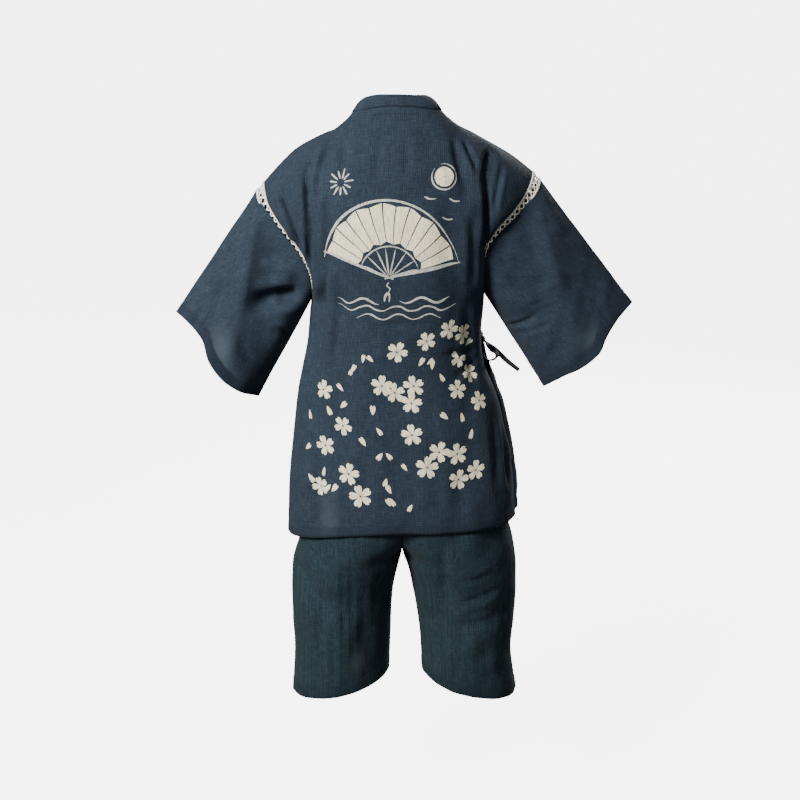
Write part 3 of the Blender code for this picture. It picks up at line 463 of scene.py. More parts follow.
def front_surface(across, level, side, closed=False):
    """Surface of one front: side is 1 for the outer, wearer's left one, and -1 for the inner one.

    Closed, its free edge is laid to the back.
    """
    across, level = np.broadcast_arrays(np.asarray(across, float), np.asarray(level, float))
    points = body(across, level, -1)
    step = 0.004
    run = body(np.clip(across + step, -1, 1), level, -1) - body(np.clip(across - step, -1, 1), level, -1)
    fall = body(across, np.clip(level + step, 0, HEM), -1) - body(across, np.clip(level - step, 0, HEM), -1)
    normal = unit(np.cross(run, fall))
    off = between(LAYERS["at"], LAYERS["outer" if side > 0 else "inner"], side * across) * smooth(level / LAYER_FADE)
    if closed and side > 0:
        off = off + (0.0016 - off) * (1.0 - smooth((across + 1.0) / 0.07)) * smooth((level - 1.1) / 0.15)
    return points - normal * off[..., None]


# %% [markdown]
# A cloth is kept as a grid of points, with the way its outside faces and how far each point is along the cloth itself, across
# and down, in metres. Those lengths become the UV map, so the weave keeps its real size and follows the folds. They are also
# what the prints and stitches are laid out by.

# %% A cloth as a grid
def calm(values, reach):
    """Evens values out over neighbouring rows, so that threads run straight through small folds."""
    rows = np.arange(len(values))
    weights = np.exp(-(((rows[:, None] - rows[None, :]) / reach) ** 2))
    return weights @ values / weights.sum(axis=1, keepdims=True)


class Cloth:
    """One sheet as a grid of points: rows run down, columns run across. Its middle column and one level row run true."""

    def __init__(self, grid, flip=False, wrap=False, middle=0, level=0):
        self.grid, self.flip, self.wrap, self.middle, self.level = grid, flip, wrap, middle, level
        self.marks = {}
        self.measure()

    def measure(self):
        grid = self.grid
        closed = np.concatenate([grid, grid[:, :1]], axis=1) if self.wrap else grid
        run = np.roll(grid, -1, axis=1) - np.roll(grid, 1, axis=1) if self.wrap else np.gradient(grid, axis=1)
        normals = np.cross(np.gradient(grid, axis=0), run) * (-1.0 if self.flip else 1.0)
        self.normals = normals / np.maximum(np.linalg.norm(normals, axis=-1), 1e-12)[..., None]
        steps = np.linalg.norm(np.diff(closed, axis=1), axis=-1)
        across = np.concatenate([np.zeros((len(grid), 1)), np.cumsum(steps, axis=1)], axis=1)
        falls = np.cumsum(np.linalg.norm(np.diff(closed, axis=0), axis=-1), axis=0)
        self.fall = np.concatenate([np.zeros((1, closed.shape[1])), falls])
        self.rise = self.fall[-1:] - self.fall
        self.u = calm(across - across[:, self.middle : self.middle + 1], 14.0)
        self.v = calm((self.fall - self.fall[self.level] - closed[self.level, :, 2]).T, 9.0).T

    def area(self):
        ends = self.grid if not self.wrap else np.concatenate([self.grid, self.grid[:, :1]], axis=1)
        one = ends[1:, 1:] - ends[:-1, :-1]
        two = ends[1:, :-1] - ends[:-1, 1:]
        return float(np.linalg.norm(np.cross(one, two), axis=-1).sum() / 2.0)

    def push(self, height):
        """Moves each point out along its normal."""
        self.grid = self.grid + self.normals * height[..., None]
        self.measure()


def line_across(cloth, distance, off=0.0003, from_hem=True):
    """Points of a line that runs across the cloth at one distance from its hem, or from its top."""
    length = cloth.rise if from_hem else cloth.fall
    columns = cloth.grid.shape[1]
    points = []
    for c in range(columns):
        order = np.argsort(length[:, c])
        at = np.interp(distance, length[order, c], order.astype(float))
        r = min(int(at), len(length) - 2)
        share = at - r
        place = cloth.grid[r, c] * (1 - share) + cloth.grid[r + 1, c] * share
        points.append(place + cloth.normals[r, c] * off)
    if cloth.wrap:
        points.append(points[0])
    return np.array(points)


def line_down(cloth, distance, last=False, rows=slice(None), off=0.0003):
    """Points of a line that runs down the cloth at one distance from its first or last column."""
    points = []
    for r in range(cloth.grid.shape[0])[rows]:
        u = np.abs(cloth.u[r] - cloth.u[r, -1 if last else 0])
        order = np.argsort(u)
        at = np.interp(distance, u[order], order.astype(float))
        c = min(int(at), cloth.grid.shape[1] - 2)
        share = at - c
        points.append(cloth.grid[r, c] * (1 - share) + cloth.grid[r, c + 1] * share + cloth.normals[r, c] * off)
    return np.array(points)


# %% [markdown]
# Real folds are never even: each has its own length, depth and bend, is sharper on one side, and throws up a low lip beside it.
# A fold is drawn here by three points of a bent line, its width and its depth. A simulation could drape the cloth, but
# it would not put the folds where the picture has them, so they are placed one by one, and the sides that aren't seen
# get similar ones.

# %% Creases and rumple
CREASE_STRENGTH = 1.5
JACKET_HEM, SLEEVE_HEM, SHORTS_HEM = 0.020, 0.022, 0.025


def crease_depth(points, rows):
    """How deep the creases lie at each point, as seen square on."""
    flat = points[..., (0, 2)].reshape(-1, 2)
    total = np.zeros(len(flat))
    each = np.arange(len(flat))
    t = np.linspace(0.0, 1.0, 17)[:, None]
    for x0, z0, x1, z1, x2, z2, width, depth in np.array(rows) / MILLIMETRES:
        line = (1 - t) ** 2 * np.array([x0, z0]) + 2 * t * (1 - t) * np.array([x1, z1]) + t**2 * np.array([x2, z2])
        step = np.diff(line, axis=0)
        away = flat[:, None] - line[None, :-1]
        share = np.clip((away * step).sum(-1) / (step**2).sum(-1), 0.0, 1.0)
        gap = away - share[..., None] * step
        k = np.linalg.norm(gap, axis=-1).argmin(1)
        near = gap[each, k]
        side = step[k, 0] * near[:, 1] - step[k, 1] * near[:, 0]
        d = np.linalg.norm(near, axis=-1) * np.sign(side) / width
        at = (k + share[each, k]) / 16.0
        taper = smooth(np.minimum(at, 1.0 - at) / 0.3)
        trough = np.exp(-((d / np.where(d > 0, 1.0, 0.6)) ** 2))
        lip = 0.35 * np.exp(-(((d - 1.7) / 0.8) ** 2)) + 0.2 * np.exp(-(((d + 1.5) / 0.7) ** 2))
        total += CREASE_STRENGTH * depth * taper * (trough - lip)
    return total.reshape(points.shape[:-1])


def rumple(points, seed, steepness=0.026, shortest=0.022, longest=0.10):
    """A low, uneven crumple of thin cotton: waves in many directions, the same on each run."""
    chance = np.random.default_rng(seed)
    total = np.zeros(points.shape[:-1])
    for _ in range(22):
        way = chance.normal(size=3) * (1.0, 0.8, 0.6)
        way /= np.linalg.norm(way)
        length = np.exp(chance.uniform(np.log(shortest), np.log(longest)))
        phase = chance.uniform(0.0, 2.0 * np.pi)
        bend = 0.8 * np.sin(points @ chance.normal(size=3) * 18.0 + phase)
        total += steepness * length / (2.0 * np.pi) * np.sin(points @ way * 2.0 * np.pi / length + phase + bend)
    return total


def hemmed(cloth, width, height=0.0005):
    """Turns up a hem: a slightly thicker band along the last row, with the pull of its stitches above it."""
    band = smooth((width - cloth.rise) / 0.002 + 0.5)
    band = band[:, :-1] if cloth.wrap else band
    rise = cloth.rise[:, :-1] if cloth.wrap else cloth.rise
    cloth.marks["doubled"] = np.maximum(cloth.marks.get("doubled", 0.0), band)
    return band * height - 0.0009 * np.exp(-(((rise - width) / 0.0022) ** 2))


# %% [markdown]
# Now the fine creases. On the back they fall from the shoulders beside the armholes, where the cloth is pulled by the arms, and
# there is a deep hooked one at the wearer's right armhole. Lower down they are long and soft.

# %% Creases of the jacket
BACK_CREASES = (
    (110, -51, 124, -80, 138, -116, 6, 3),
    (144, -65, 152, -90, 158, -120, 5.5, 3),
    (160, -100, 153, -190, 156, -290, 6, 5.2),
    (132, -102, 148, -160, 144, -270, 7, 3.2),
    (186, -205, 174, -245, 166, -300, 7, 6),
    (212, -136, 192, -180, 174, -232, 5.5, 4.8),
    (90, -60, 100, -100, 98, -160, 8, 1.8),
    (30, -50, 38, -85, 36, -130, 9, 1.4),
    (-10, -45, -14, -80, -10, -125, 8, 1.2),
    (-89, -50, -96, -88, -106, -134, 6.5, 2),
    (-77, -88, -88, -118, -98, -158, 8, 0.8),
    (-106, -52, -120, -80, -136, -120, 5.5, 3),
    (-158, -84, -140, -82, -146, -150, 5, 5),
    (-146, -120, -152, -180, -147, -262, 6, 6),
    (-180, -95, -168, -130, -160, -190, 6, 2.6),
    (-125, -170, -132, -240, -128, -330, 9, 2.4),
    (126, -250, 140, -360, 158, -560, 11, 4.4),
    (150, -330, 160, -430, 176, -540, 8, 2.6),
    (100, -300, 104, -370, 118, -450, 10, 1.8),
    (60, -330, 40, -350, -10, -352, 8, 1.4),
    (-118, -330, -124, -420, -140, -520, 10, 3),
    (-148, -425, -120, -436, -70, -432, 7, 2.6),
    (-150, -440, -128, -462, -90, -480, 7, 2),
    (-60, -370, -20, -376, 40, -368, 7, 1.2),
    (148, -600, 150, -690, 144, -785, 11, 2.8),
    (118, -640, 112, -720, 114, -785, 14, -2),
    (60, -600, 66, -690, 60, -770, 16, 1.4),
    (-60, -560, -70, -660, -64, -750, 18, 1.2),
    (-110, -640, -116, -700, -108, -765, 16, 1.4),
    (-188, -560, -200, -620, -206, -712, 5, 2.8),
    (-165, -520, -178, -600, -182, -700, 8, 2.2),
)
OUTER_CREASES = (
    (100, -90, 122, -150, 134, -270, 8, 4),
    (150, -105, 158, -150, 150, -220, 6, 3.6),
    (185, -120, 176, -160, 160, -230, 6, 3),
    (85, -150, 98, -210, 90, -300, 9, 2.4),
    (-120, -424, -20, -392, 80, -320, 9, 4.2),
    (-118, -440, 0, -424, 126, -395, 8, 3.6),
    (-120, -452, -40, -470, 50, -520, 8, 3.2),
    (-128, -462, -80, -540, -60, -660, 10, 3.6),
    (-136, -470, -128, -570, -120, -700, 9, 3),
    (140, -360, 150, -480, 172, -620, 10, 3.6),
    (50, -560, 60, -660, 58, -775, 12, 3),
    (120, -640, 128, -710, 124, -790, 10, -2.8),
    (-20, -620, -26, -700, -18, -780, 11, 2.6),
)
INNER_CREASES = (
    (-98, -80, -112, -140, -118, -240, 8, 3.2),
    (-140, -90, -146, -140, -140, -210, 6, 3),
    (-176, -105, -166, -150, -152, -215, 6, 2.8),
    (-60, -300, 0, -380, 70, -430, 8, 2),
)

# %% [markdown]
# The sleeves are short, wide tubes. Their creases start at the armpit, where the arm presses the cloth, and one soft ridge runs
# from the shoulder to the cuff.

# %% Creases of the sleeves
SLEEVE_CREASES_LEFT = {
    "behind": (
        (250, -172, 262, -270, 290, -380, 14, -3),
        (264, -337, 220, -332, 178, -326, 15, 8),
        (228, -333, 206, -330, 178, -324, 17, 6),
        (240, -392, 212, -404, 196, -402, 11, 2),
        (276, -350, 284, -400, 276, -490, 18, 1.8),
        (310, -300, 330, -350, 346, -400, 12, 1),
        (250, -268, 216, -284, 180, -286, 12, -3),
        (350, -350, 366, -372, 374, -396, 6, 1.8),
    ),
    "before": (
        (262, -310, 220, -330, 176, -322, 9, 6),
        (270, -350, 230, -372, 186, -362, 9, 4.6),
        (244, -200, 256, -260, 262, -330, 10, 3),
        (300, -270, 322, -340, 330, -420, 10, 3.4),
        (280, -400, 272, -450, 276, -510, 8, 2.6),
    ),
}
SLEEVE_CREASES_RIGHT = {
    "behind": (
        (-186, -396, -222, -384, -252, -362, 6, 2.2),
        (-206, -408, -240, -398, -276, -376, 5, 1),
        (-220, -352, -248, -346, -280, -326, 5, 1),
        (-234, -336, -262, -330, -292, -310, 4.5, 0.8),
        (-186, -300, -224, -312, -268, -318, 18, 2.2),
        (-176, -266, -206, -276, -240, -276, 14, 1.2),
        (-240, -170, -262, -250, -300, -350, 14, -2.6),
        (-290, -330, -300, -400, -286, -470, 16, 1.4),
        (-350, -330, -366, -360, -376, -390, 10, 1),
        (-222, -215, -232, -240, -230, -272, 11, 0.8),
    ),
    "before": (
        (-250, -296, -210, -318, -170, -312, 9, 6),
        (-262, -340, -226, -362, -184, -352, 9, 4.4),
        (-240, -186, -254, -250, -262, -320, 10, 3),
        (-300, -262, -326, -330, -336, -400, 10, 3.4),
        (-284, -390, -276, -440, -282, -496, 8, 2.6),
    ),
}

# %% [markdown]
# Finishes come before the pieces, so that each piece is given its own as it is made. One function turns a colour from a picture
# editor into the linear values that a renderer needs, and another adds a node with its settings and its links.

# %% Helpers for finishes
def linear(code):
    """An sRGB hex colour as linear red, green, blue and alpha."""
    parts = [int(code[i : i + 2], 16) / 255.0 for i in (1, 3, 5)]
    return tuple(c / 12.92 if c <= 0.04045 else ((c + 0.055) / 1.055) ** 2.4 for c in parts) + (1.0,)


def add_node(tree, kind, inputs=None, **settings):
    """Adds a node with its settings. An input is a value, or the output of another node."""
    made = tree.nodes.new(kind)
    for name, value in settings.items():
        setattr(made, name, value)
    for key, value in (inputs or {}).items():
        if isinstance(value, bpy.types.NodeSocket):
            tree.links.new(value, made.inputs[key])
        else:
            made.inputs[key].default_value = value
    return made


def maths(tree, operation, *values):
    """A calculation with numbers or the outputs of nodes."""
    return add_node(tree, "ShaderNodeMath", dict(enumerate(values)), operation=operation).outputs[0]


def ranged(tree, value, low, high, first, last):
    """A value from low to high brought to first to last."""
    return add_node(tree, "ShaderNodeMapRange", {0: value, 1: low, 2: high, 3: first, 4: last}).outputs[0]


def stretched_noise(tree, place, scale, detail=3.0, roughness=0.6):
    """Noise with a scale of its own for each axis."""
    at = add_node(tree, "ShaderNodeMapping", {"Vector": place, "Scale": scale}).outputs["Vector"]
    grain = {"Vector": at, "Scale": 1.0, "Detail": detail, "Roughness": roughness}
    return add_node(tree, "ShaderNodeTexNoise", grain).outputs["Fac"]


def roughen(tree, shader, value, roughest, smoothest):
    """Roughness that follows a noise."""
    tree.links.new(ranged(tree, value, 0.3, 0.7, roughest, smoothest), shader.inputs["Roughness"])


def emboss(tree, shader, height, distance, strength):
    """Small relief from a height."""
    bump = add_node(tree, "ShaderNodeBump", {"Height": height, "Distance": distance, "Strength": strength})
    tree.links.new(bump.outputs["Normal"], shader.inputs["Normal"])


def new_finish(name, **sockets):
    """An empty finish, with the values that are the same all over it set on the shader itself."""
    made = bpy.data.materials.new(name)
    made.use_nodes = True
    shader = made.node_tree.nodes["Principled BSDF"]
    for label, value in sockets.items():
        shader.inputs[label.replace("_", " ")].default_value = value
    return made, made.node_tree, shader


# %% [markdown]
# Shijira cotton is a plain weave whose tight and slack warp threads pucker it into fine ribs. It is dyed in the yarn,
# so thick and thin threads show as small light and dark dashes both ways. It is matt with a faint bloom of loose
# fibres. The real threads are 0.4 mm apart, too fine for the picture, so the dashes are drawn 1.6 to 2 mm wide, which
# is also how the photograph shows them. Where the cloth is single and light comes through it, that light is painted
# into its colour as a paler tone, and where it is doubled at a hem it is darker.

# %% Finish: shijira cotton
def shijira_cotton(name, dark, middle, light, pale, rib_shade):
    made, tree, shader = new_finish(name, Sheen_Weight=0.03, Sheen_Roughness=0.5, IOR=1.5)
    shader.inputs["Specular IOR Level"].default_value = 0.12
    place = add_node(tree, "ShaderNodeUVMap", uv_map="cloth").outputs["UV"]
    streaks = [stretched_noise(tree, place, scale, 3.0, 0.62) for scale in ((780.0, 60.0, 1.0), (44.0, 860.0, 1.0))]
    half = maths(tree, "MULTIPLY", maths(tree, "ADD", *streaks), 0.5)
    ramp = add_node(tree, "ShaderNodeValToRGB", {"Fac": half})
    stops = ramp.color_ramp.elements
    stops[0].position, stops[0].color = 0.32, linear(dark)
    stops[1].position, stops[1].color = 0.71, linear(light)
    stops.new(0.50).color = linear(middle)
    wash_at = add_node(tree, "ShaderNodeTexNoise", {"Vector": place, "Scale": 7.0, "Detail": 4.0, "Roughness": 0.6})
    wash = ranged(tree, wash_at.outputs["Fac"], 0.3, 0.7, 0.88, 1.10)
    ribs_at = add_node(tree, "ShaderNodeMapping", {"Vector": place, "Scale": (1.0, 0.22, 1.0)}).outputs["Vector"]
    ribs = add_node(
        tree,
        "ShaderNodeTexWave",
        {"Vector": ribs_at, "Scale": 92.0, "Distortion": 3.2, "Detail": 2.0, "Detail Scale": 1.6, "Detail Roughness": 0.6},
        bands_direction="X",
    ).outputs["Fac"]
    slack = stretched_noise(tree, place, (230.0, 6.0, 1.0), 2.0, 0.5)
    tone = maths(tree, "MULTIPLY", wash, ranged(tree, slack, 0.3, 0.7, 1.0 - rib_shade, 1.0 + rib_shade))
    faded = add_node(tree, "ShaderNodeVectorMath", {0: ramp.outputs["Color"], "Scale": tone}, operation="SCALE").outputs[0]
    # Painted light: the mark called thin mixes in a pale colour where light shines through the single cloth.
    thin = add_node(tree, "ShaderNodeAttribute", attribute_name="thin").outputs["Fac"]
    through = add_node(tree, "ShaderNodeMixRGB", {"Fac": thin, "Color1": faded, "Color2": linear(pale)}).outputs["Color"]
    doubled = add_node(tree, "ShaderNodeAttribute", attribute_name="doubled").outputs["Fac"]
    less = maths(tree, "MULTIPLY", doubled, 0.4)
    colour = add_node(tree, "ShaderNodeMixRGB", {"Fac": less, "Color1": through, "Color2": linear(dark)}).outputs["Color"]
    tree.links.new(colour, shader.inputs["Base Color"])
    roughen(tree, shader, half, 0.92, 0.78)
    emboss(tree, shader, maths(tree, "MULTIPLY_ADD", ribs, 0.45, half), 0.0009, 0.55)
    return made


JACKET_COTTON = shijira_cotton("shijira_cotton_jacket", "#1a222d", "#27323f", "#3a4655", "#4e5a62", 0.07)
SHORTS_COTTON = shijira_cotton("shijira_cotton_shorts", "#152228", "#203038", "#36484f", "#4a575b", 0.20)
print("finishes:", JACKET_COTTON.name, SHORTS_COTTON.name)

# %% [markdown]
# The lace, the print, the tapes and the thread are small areas, each with a finish of its own. Cotton lace is a
# bleached, thick, twisted thread, so it is bright and rough. Print paste lies on top of the yarn: it is chalky, and the
# dark dashes of the weave show through it. The ties are the same cotton folded into a tape, and their finish is nearly
# black.

# %% Finishes: lace, print, tape and thread
def threaded(name, dark, light, scale, strength, distance, uv=None, **sockets):
    """A matt cotton finish with a small, uneven thread pattern."""
    made, tree, shader = new_finish(name, IOR=1.5, **sockets)
    if uv:
        place = add_node(tree, "ShaderNodeUVMap", uv_map=uv).outputs["UV"]
    else:
        place = add_node(tree, "ShaderNodeTexCoord").outputs["Object"]
    grain = stretched_noise(tree, place, scale)
    ramp = add_node(tree, "ShaderNodeValToRGB", {"Fac": grain})
    for stop, position, colour in zip(ramp.color_ramp.elements, (0.33, 0.55), (dark, light)):
        stop.position, stop.color = position, linear(colour)
    tree.links.new(ramp.outputs["Color"], shader.inputs["Base Color"])
    roughen(tree, shader, grain, 0.95, 0.75)
    emboss(tree, shader, grain, distance, strength)
    return made


COTTON_LACE = threaded("cotton_lace", "#e0dac8", "#fefbf0", (900.0, 900.0, 900.0), 0.5, 0.0004, Sheen_Weight=0.1)
PRINT_PASTE = threaded("print_paste", "#cbc3a8", "#f8f0d4", (420.0, 60.0, 1.0), 0.4, 0.0003, "cloth")
BRUSH_PASTE = threaded("print_paste_brushed", "#8d918f", "#c3c5bf", (420.0, 60.0, 1.0), 0.4, 0.0003, "cloth")
TIE_TAPE = threaded("folded_cotton_tape", "#030407", "#0e1219", (700.0, 90.0, 1.0), 0.5, 0.0004, "cloth", Sheen_Weight=0.1)
THREAD = threaded("cotton_thread", "#141c25", "#2c3843", (1500.0, 1500.0, 1500.0), 0.3, 0.0002)
TIE_THREAD = threaded("black_cotton_thread", "#030407", "#0e1219", (1500.0, 1500.0, 1500.0), 0.3, 0.0002)
print("finishes:", [m.name for m in (COTTON_LACE, PRINT_PASTE, BRUSH_PASTE, TIE_TAPE, THREAD, TIE_THREAD)])

# %% [markdown]
# A cloth grid becomes a mesh with four-sided faces, a UV map in metres and its marks as attributes. Solidify then gives it the
# 0.8 mm of real shijira, inwards, so that the outside stays where the grid is. Every sheet says what size it was cut to.

# %% Grid to piece
CLOTH_WALL, TAPE_WALL = 0.0008, 0.0017


def put(name, mesh):
    """A new object in the scene."""
    made = bpy.data.objects.new(name, mesh)
    bpy.context.scene.collection.objects.link(made)
    return made


def cloth_mesh(name, cloth, finish):
    rows, columns = cloth.grid.shape[:2]
    r, c = np.meshgrid(np.arange(rows - 1), np.arange(columns if cloth.wrap else columns - 1), indexing="ij")
    right = (c + 1) % columns
    corners = ((r, c, c), (r + 1, c, c), (r + 1, right, c + 1), (r, right, c + 1))
    faces = np.stack([a * columns + b for a, b, _ in corners], axis=-1).reshape(-1, 4)
    places = np.stack([np.stack([cloth.u[a, k], cloth.v[a, k]], axis=-1) for a, _, k in corners], axis=2).reshape(-1, 4, 2)
    if cloth.flip:
        faces, places = faces[:, ::-1], places[:, ::-1]
    mesh = bpy.data.meshes.new(name)
    mesh.from_pydata(cloth.grid.reshape(-1, 3).tolist(), [], faces.tolist())
    layer = mesh.uv_layers.new(name="cloth")
    layer.data.foreach_set("uv", np.ascontiguousarray(places, dtype=np.float32).ravel())
    for label, values in cloth.marks.items():
        mark = mesh.attributes.new(label, "FLOAT", "POINT")
        mark.data.foreach_set("value", np.ascontiguousarray(values, dtype=np.float32).ravel())
    mesh.shade_smooth()
    mesh.materials.append(finish)
    return mesh


def dress(piece, slot, *nodes):
    """The piece rides on the body and takes the place of its solids."""
    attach(piece, "root")
    if nodes:
        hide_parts(*nodes)
    return piece


def cloth_piece(name, cloth, finish, slot, nodes, wall=CLOTH_WALL, offset=-1.0):
    piece = put(name, cloth_mesh(name, cloth, finish))
    shell = piece.modifiers.new("wall", "SOLIDIFY")
    shell.thickness, shell.offset = wall, offset
    print(name, "measures in mm:", [round(1000 * float(v)) for v in (np.ptp(cloth.u, axis=1).max(), cloth.fall.max())],
          "area in m2:", round(cloth.area(), 3))
    return dress(piece, slot, *nodes)


def blob(points, x, z, wide, high):
    """A soft patch, as seen square on."""
    return np.exp(-(((points[..., 0] - x) / wide) ** 2) - ((points[..., 2] - z) / high) ** 2)


# %% [markdown]
# The back is one panel from the collar and the shoulder seams to the hem. Rows are closer together near the top, where the
# surface turns most. Creases fade out towards the seams, so that neighbours still meet there.

# %% Back of the jacket
LEVELS = HEM * np.linspace(0.0, 1.0, 150) ** 1.12
across = np.linspace(-1.0, 1.0, 127)
ARMPIT_ROW = int(np.searchsorted(LEVELS, ARMPIT))
back = Cloth(body(across[None, :], LEVELS[:, None], 1), flip=True, middle=63, level=ARMPIT_ROW)
hold = smooth((LEVELS[:, None] - 0.05) / 0.10) * smooth((1.0 - np.abs(across))[None, :] / 0.07)
back.push(-1.2 * crease_depth(back.grid, BACK_CREASES) * hold + rumple(back.grid, 3) * hold)
back.push(hemmed(back, JACKET_HEM))
# Painted light: a faint paler patch low on the left of the back, where light shines through the cloth.
back.marks["thin"] = 0.25 * blob(back.grid, 0.13, -0.73, 0.02, 0.05)
jacket_back = cloth_piece("jacket_back_cloth", back, JACKET_COTTON, "jacket_cotton", ["jacket_back"])

# %% [markdown]
# The fronts run from their side seams to their free edges, one over the other. The last part of each lies under the collar band
# and stays smooth there. Where the ties pull on the outer front, its creases fan out from the knot.

# %% Fronts of the jacket
def front_cloth(side, creases, seed):
    share = np.linspace(0.0, 1.0, 88)
    level = LEVELS[:, None]
    edge = free_edge(level)
    made = Cloth(front_surface(side * (1.0 + (edge - 1.0) * share[None, :]), level, side, True), flip=side > 0, level=ARMPIT_ROW)
    band = np.clip((band_seam(level) - edge) / (1.0 - edge), 0.0, 0.3) * (level < BAND_END_LEVEL)
    free = smooth((1.0 - share[None, :] - band) / 0.10 + (level > BAND_END_LEVEL))
    keep = smooth((level - 0.03) / 0.10) * smooth(share[None, :] / 0.08) * free
    made.push((rumple(made.grid, seed) - crease_depth(made.grid, creases)) * keep)
    made.push(hemmed(made, JACKET_HEM))
    return made


outer = front_cloth(1, OUTER_CREASES, 5)
inner = front_cloth(-1, INNER_CREASES, 7)
front_left = cloth_piece("jacket_front_left_cloth", outer, JACKET_COTTON, "jacket_cotton", ["jacket_front_left"])
front_right = cloth_piece("jacket_front_right_cloth", inner, JACKET_COTTON, "jacket_cotton", ["jacket_front_right"])

# %% [markdown]
# The collar is a long straight band, folded double over the neck edge and sewn down the free edges of both fronts. Its cross
# section is a hairpin: up the outside, round the fold and down the inside. It is swept along the neck and the fronts on the same
# surfaces as the panels, a little off them.

# %% Collar band
BAND_OFF = 0.0021


def band_grid():
    """Rows run along the band, from its left end round the neck to its right end. Columns run round the fold."""
    shares = np.linspace(0.0, 1.0, 10)
    levels = BAND_END_LEVEL * np.linspace(1.0, 0.0, 96) ** 1.25
    turns = np.linspace(1.0, -1.0, 61)
    strips = []
    for side, order in ((1, 1), (-1, -1)):
        seam, edge = band_seam(levels)[:, None], free_edge(levels)[:, None]
        strip = front_surface(side * (seam + (edge - seam) * shares), levels[:, None], side)
        strips.append(strip[::order])
    seam_level = 0.0625 * (1.0 - np.abs(turns) ** 5)[:, None] * (1.0 - shares)
    round_neck = body(turns[:, None] * (0.325 + (NECK_SHARE - 0.325) * shares), seam_level, 1)
    flat = np.concatenate([strips[0][:-1], round_neck, strips[1][1:]])
    normals = unit(np.cross(np.gradient(flat, axis=0), np.gradient(flat, axis=1)))
    if normals[len(flat) // 2, 3, 1] < 0:
        normals = -normals
    for _ in range(3):
        normals[1:-1] = normals[:-2] + 2.0 * normals[1:-1] + normals[2:]
        normals = unit(normals)
    out = unit(flat[:, -1] - flat[:, -2])
    off = 0.0011 + (BAND_OFF - 0.0011) * smooth(shares / 0.15)
    off = off + 0.0005 * np.sin(np.pi * shares) ** 2
    outside = flat + normals * off[:, None]
    turn = np.linspace(0.0, np.pi, 8)[1:-1]
    fold = [flat[:, -1] + BAND_OFF * (normals[:, -1] * np.cos(a) + out * np.sin(a)) for a in turn]
    inside = (flat - normals * BAND_OFF)[:, ::-1]
    return np.concatenate([outside, np.stack(fold, axis=1), inside], axis=1)


band = Cloth(band_grid())
middle_row = len(band.grid) // 2
if band.normals[middle_row, 4, 1] < 0:
    band.flip = True
    band.measure()
band.push(rumple(band.grid, 11, 0.03, 0.03, 0.09) * 0.6)
collar = cloth_piece("collar_band", band, JACKET_COTTON, "jacket_cotton", ["collar"])

# %% [markdown]
# A sleeve is a ring at the lace joined to a ring at the cuff. Both rings start on top of the arm and run round behind
# it. Its hem is wide and doubled, and above it the photograph shows a paler patch where light comes through the single
# cloth. That light is painted into the cloth's colour.

# %% Sleeves
RING = np.linspace(0.0, 1.0, 71)


def ring(behind, before):
    """A closed ring from its half behind and its half in front."""
    return np.concatenate([behind, before[-2:0:-1]])


def arm_ring(side):
    return ring(armhole(side, 1, RING), armhole(side, -1, RING))


def lace_shown(side):
    """How much of the lace shows round the armhole, as a share of its width. The sleeve folds over the rest."""
    word = "left" if side > 0 else "right"
    return ring(*(between(LACE_SHOWN["level"], LACE_SHOWN[f"{half}_{word}"], RING) for half in ("behind", "before")))


def lace_ring(side, shown=1.0):
    step = between(LACE_STEP["level"], columns_of(LACE_STEP, "out inward down"), RING)
    halves = [
        armhole(side, face, RING) + np.stack([side * step[:, 0], -face * step[:, 1], -step[:, 2]], axis=-1)
        for face in (1, -1)
    ]
    return arm_ring(side) + (ring(*halves) - arm_ring(side)) * np.reshape(shown, (-1, 1))


def cuff_ring(side):
    rows = CUFF_LEFT if side > 0 else CUFF_RIGHT
    return ring(half_ring(rows, 1, RING), half_ring(rows, -1, RING))


def sleeve_cloth(side, folds, creases, seed, painted_backlight_patches):
    share = np.linspace(0.0, 1.0, 80)[:, None, None]
    grid = lace_ring(side, lace_shown(side))[None] * (1.0 - share) + cuff_ring(side)[None] * share
    face = np.sign(np.round(grid[..., 1], 6))[..., None]
    folded = np.where(face > 0, pressed(grid, folds, 1), pressed(grid, folds, -1))
    grid = grid + (folded - grid) * (smooth(np.abs(grid[..., 1]) / 0.025) * smooth(share[..., 0] / 0.15))[..., None]
    made = Cloth(grid, flip=side < 0, wrap=True)
    depth = np.where(face[..., 0] > 0, crease_depth(grid, creases["behind"]), crease_depth(grid, creases["before"]))
    keep = smooth(share[..., 0] / 0.10)
    off_edge = smooth(np.abs(grid[..., 1]) / 0.02)
    made.push((rumple(grid, seed, 0.030) * (0.25 + 0.75 * off_edge) - depth * off_edge) * keep)
    made.push(hemmed(made, SLEEVE_HEM))
    # Painted light: paler patches above the cuff hems, where light shines through the single cloth.
    made.marks["thin"] = sum(strength * blob(made.grid, *place) for strength, *place in painted_backlight_patches) * (
        1.0 - made.marks["doubled"]
    )
    return made


left_sleeve = sleeve_cloth(1, SLEEVE_FOLDS_LEFT, SLEEVE_CREASES_LEFT, 13, [(0.55, 0.325, -0.445, 0.022, 0.045)])
right_sleeve = sleeve_cloth(-1, SLEEVE_FOLDS_RIGHT, SLEEVE_CREASES_RIGHT, 17, [(0.5, -0.342, -0.415, 0.024, 0.026)])
sleeve_left = cloth_piece("sleeve_left_cloth", left_sleeve, JACKET_COTTON, "jacket_cotton", ["sleeve_left"])
sleeve_right = cloth_piece("sleeve_right_cloth", right_sleeve, JACKET_COTTON, "jacket_cotton", ["sleeve_right"])

# %% [markdown]
# The shorts are four panels: each leg has a back and a front, joined at the side, inside the leg and down the middle. The
# sections are circles cut off at the middle above the crotch, which close into rings below it.

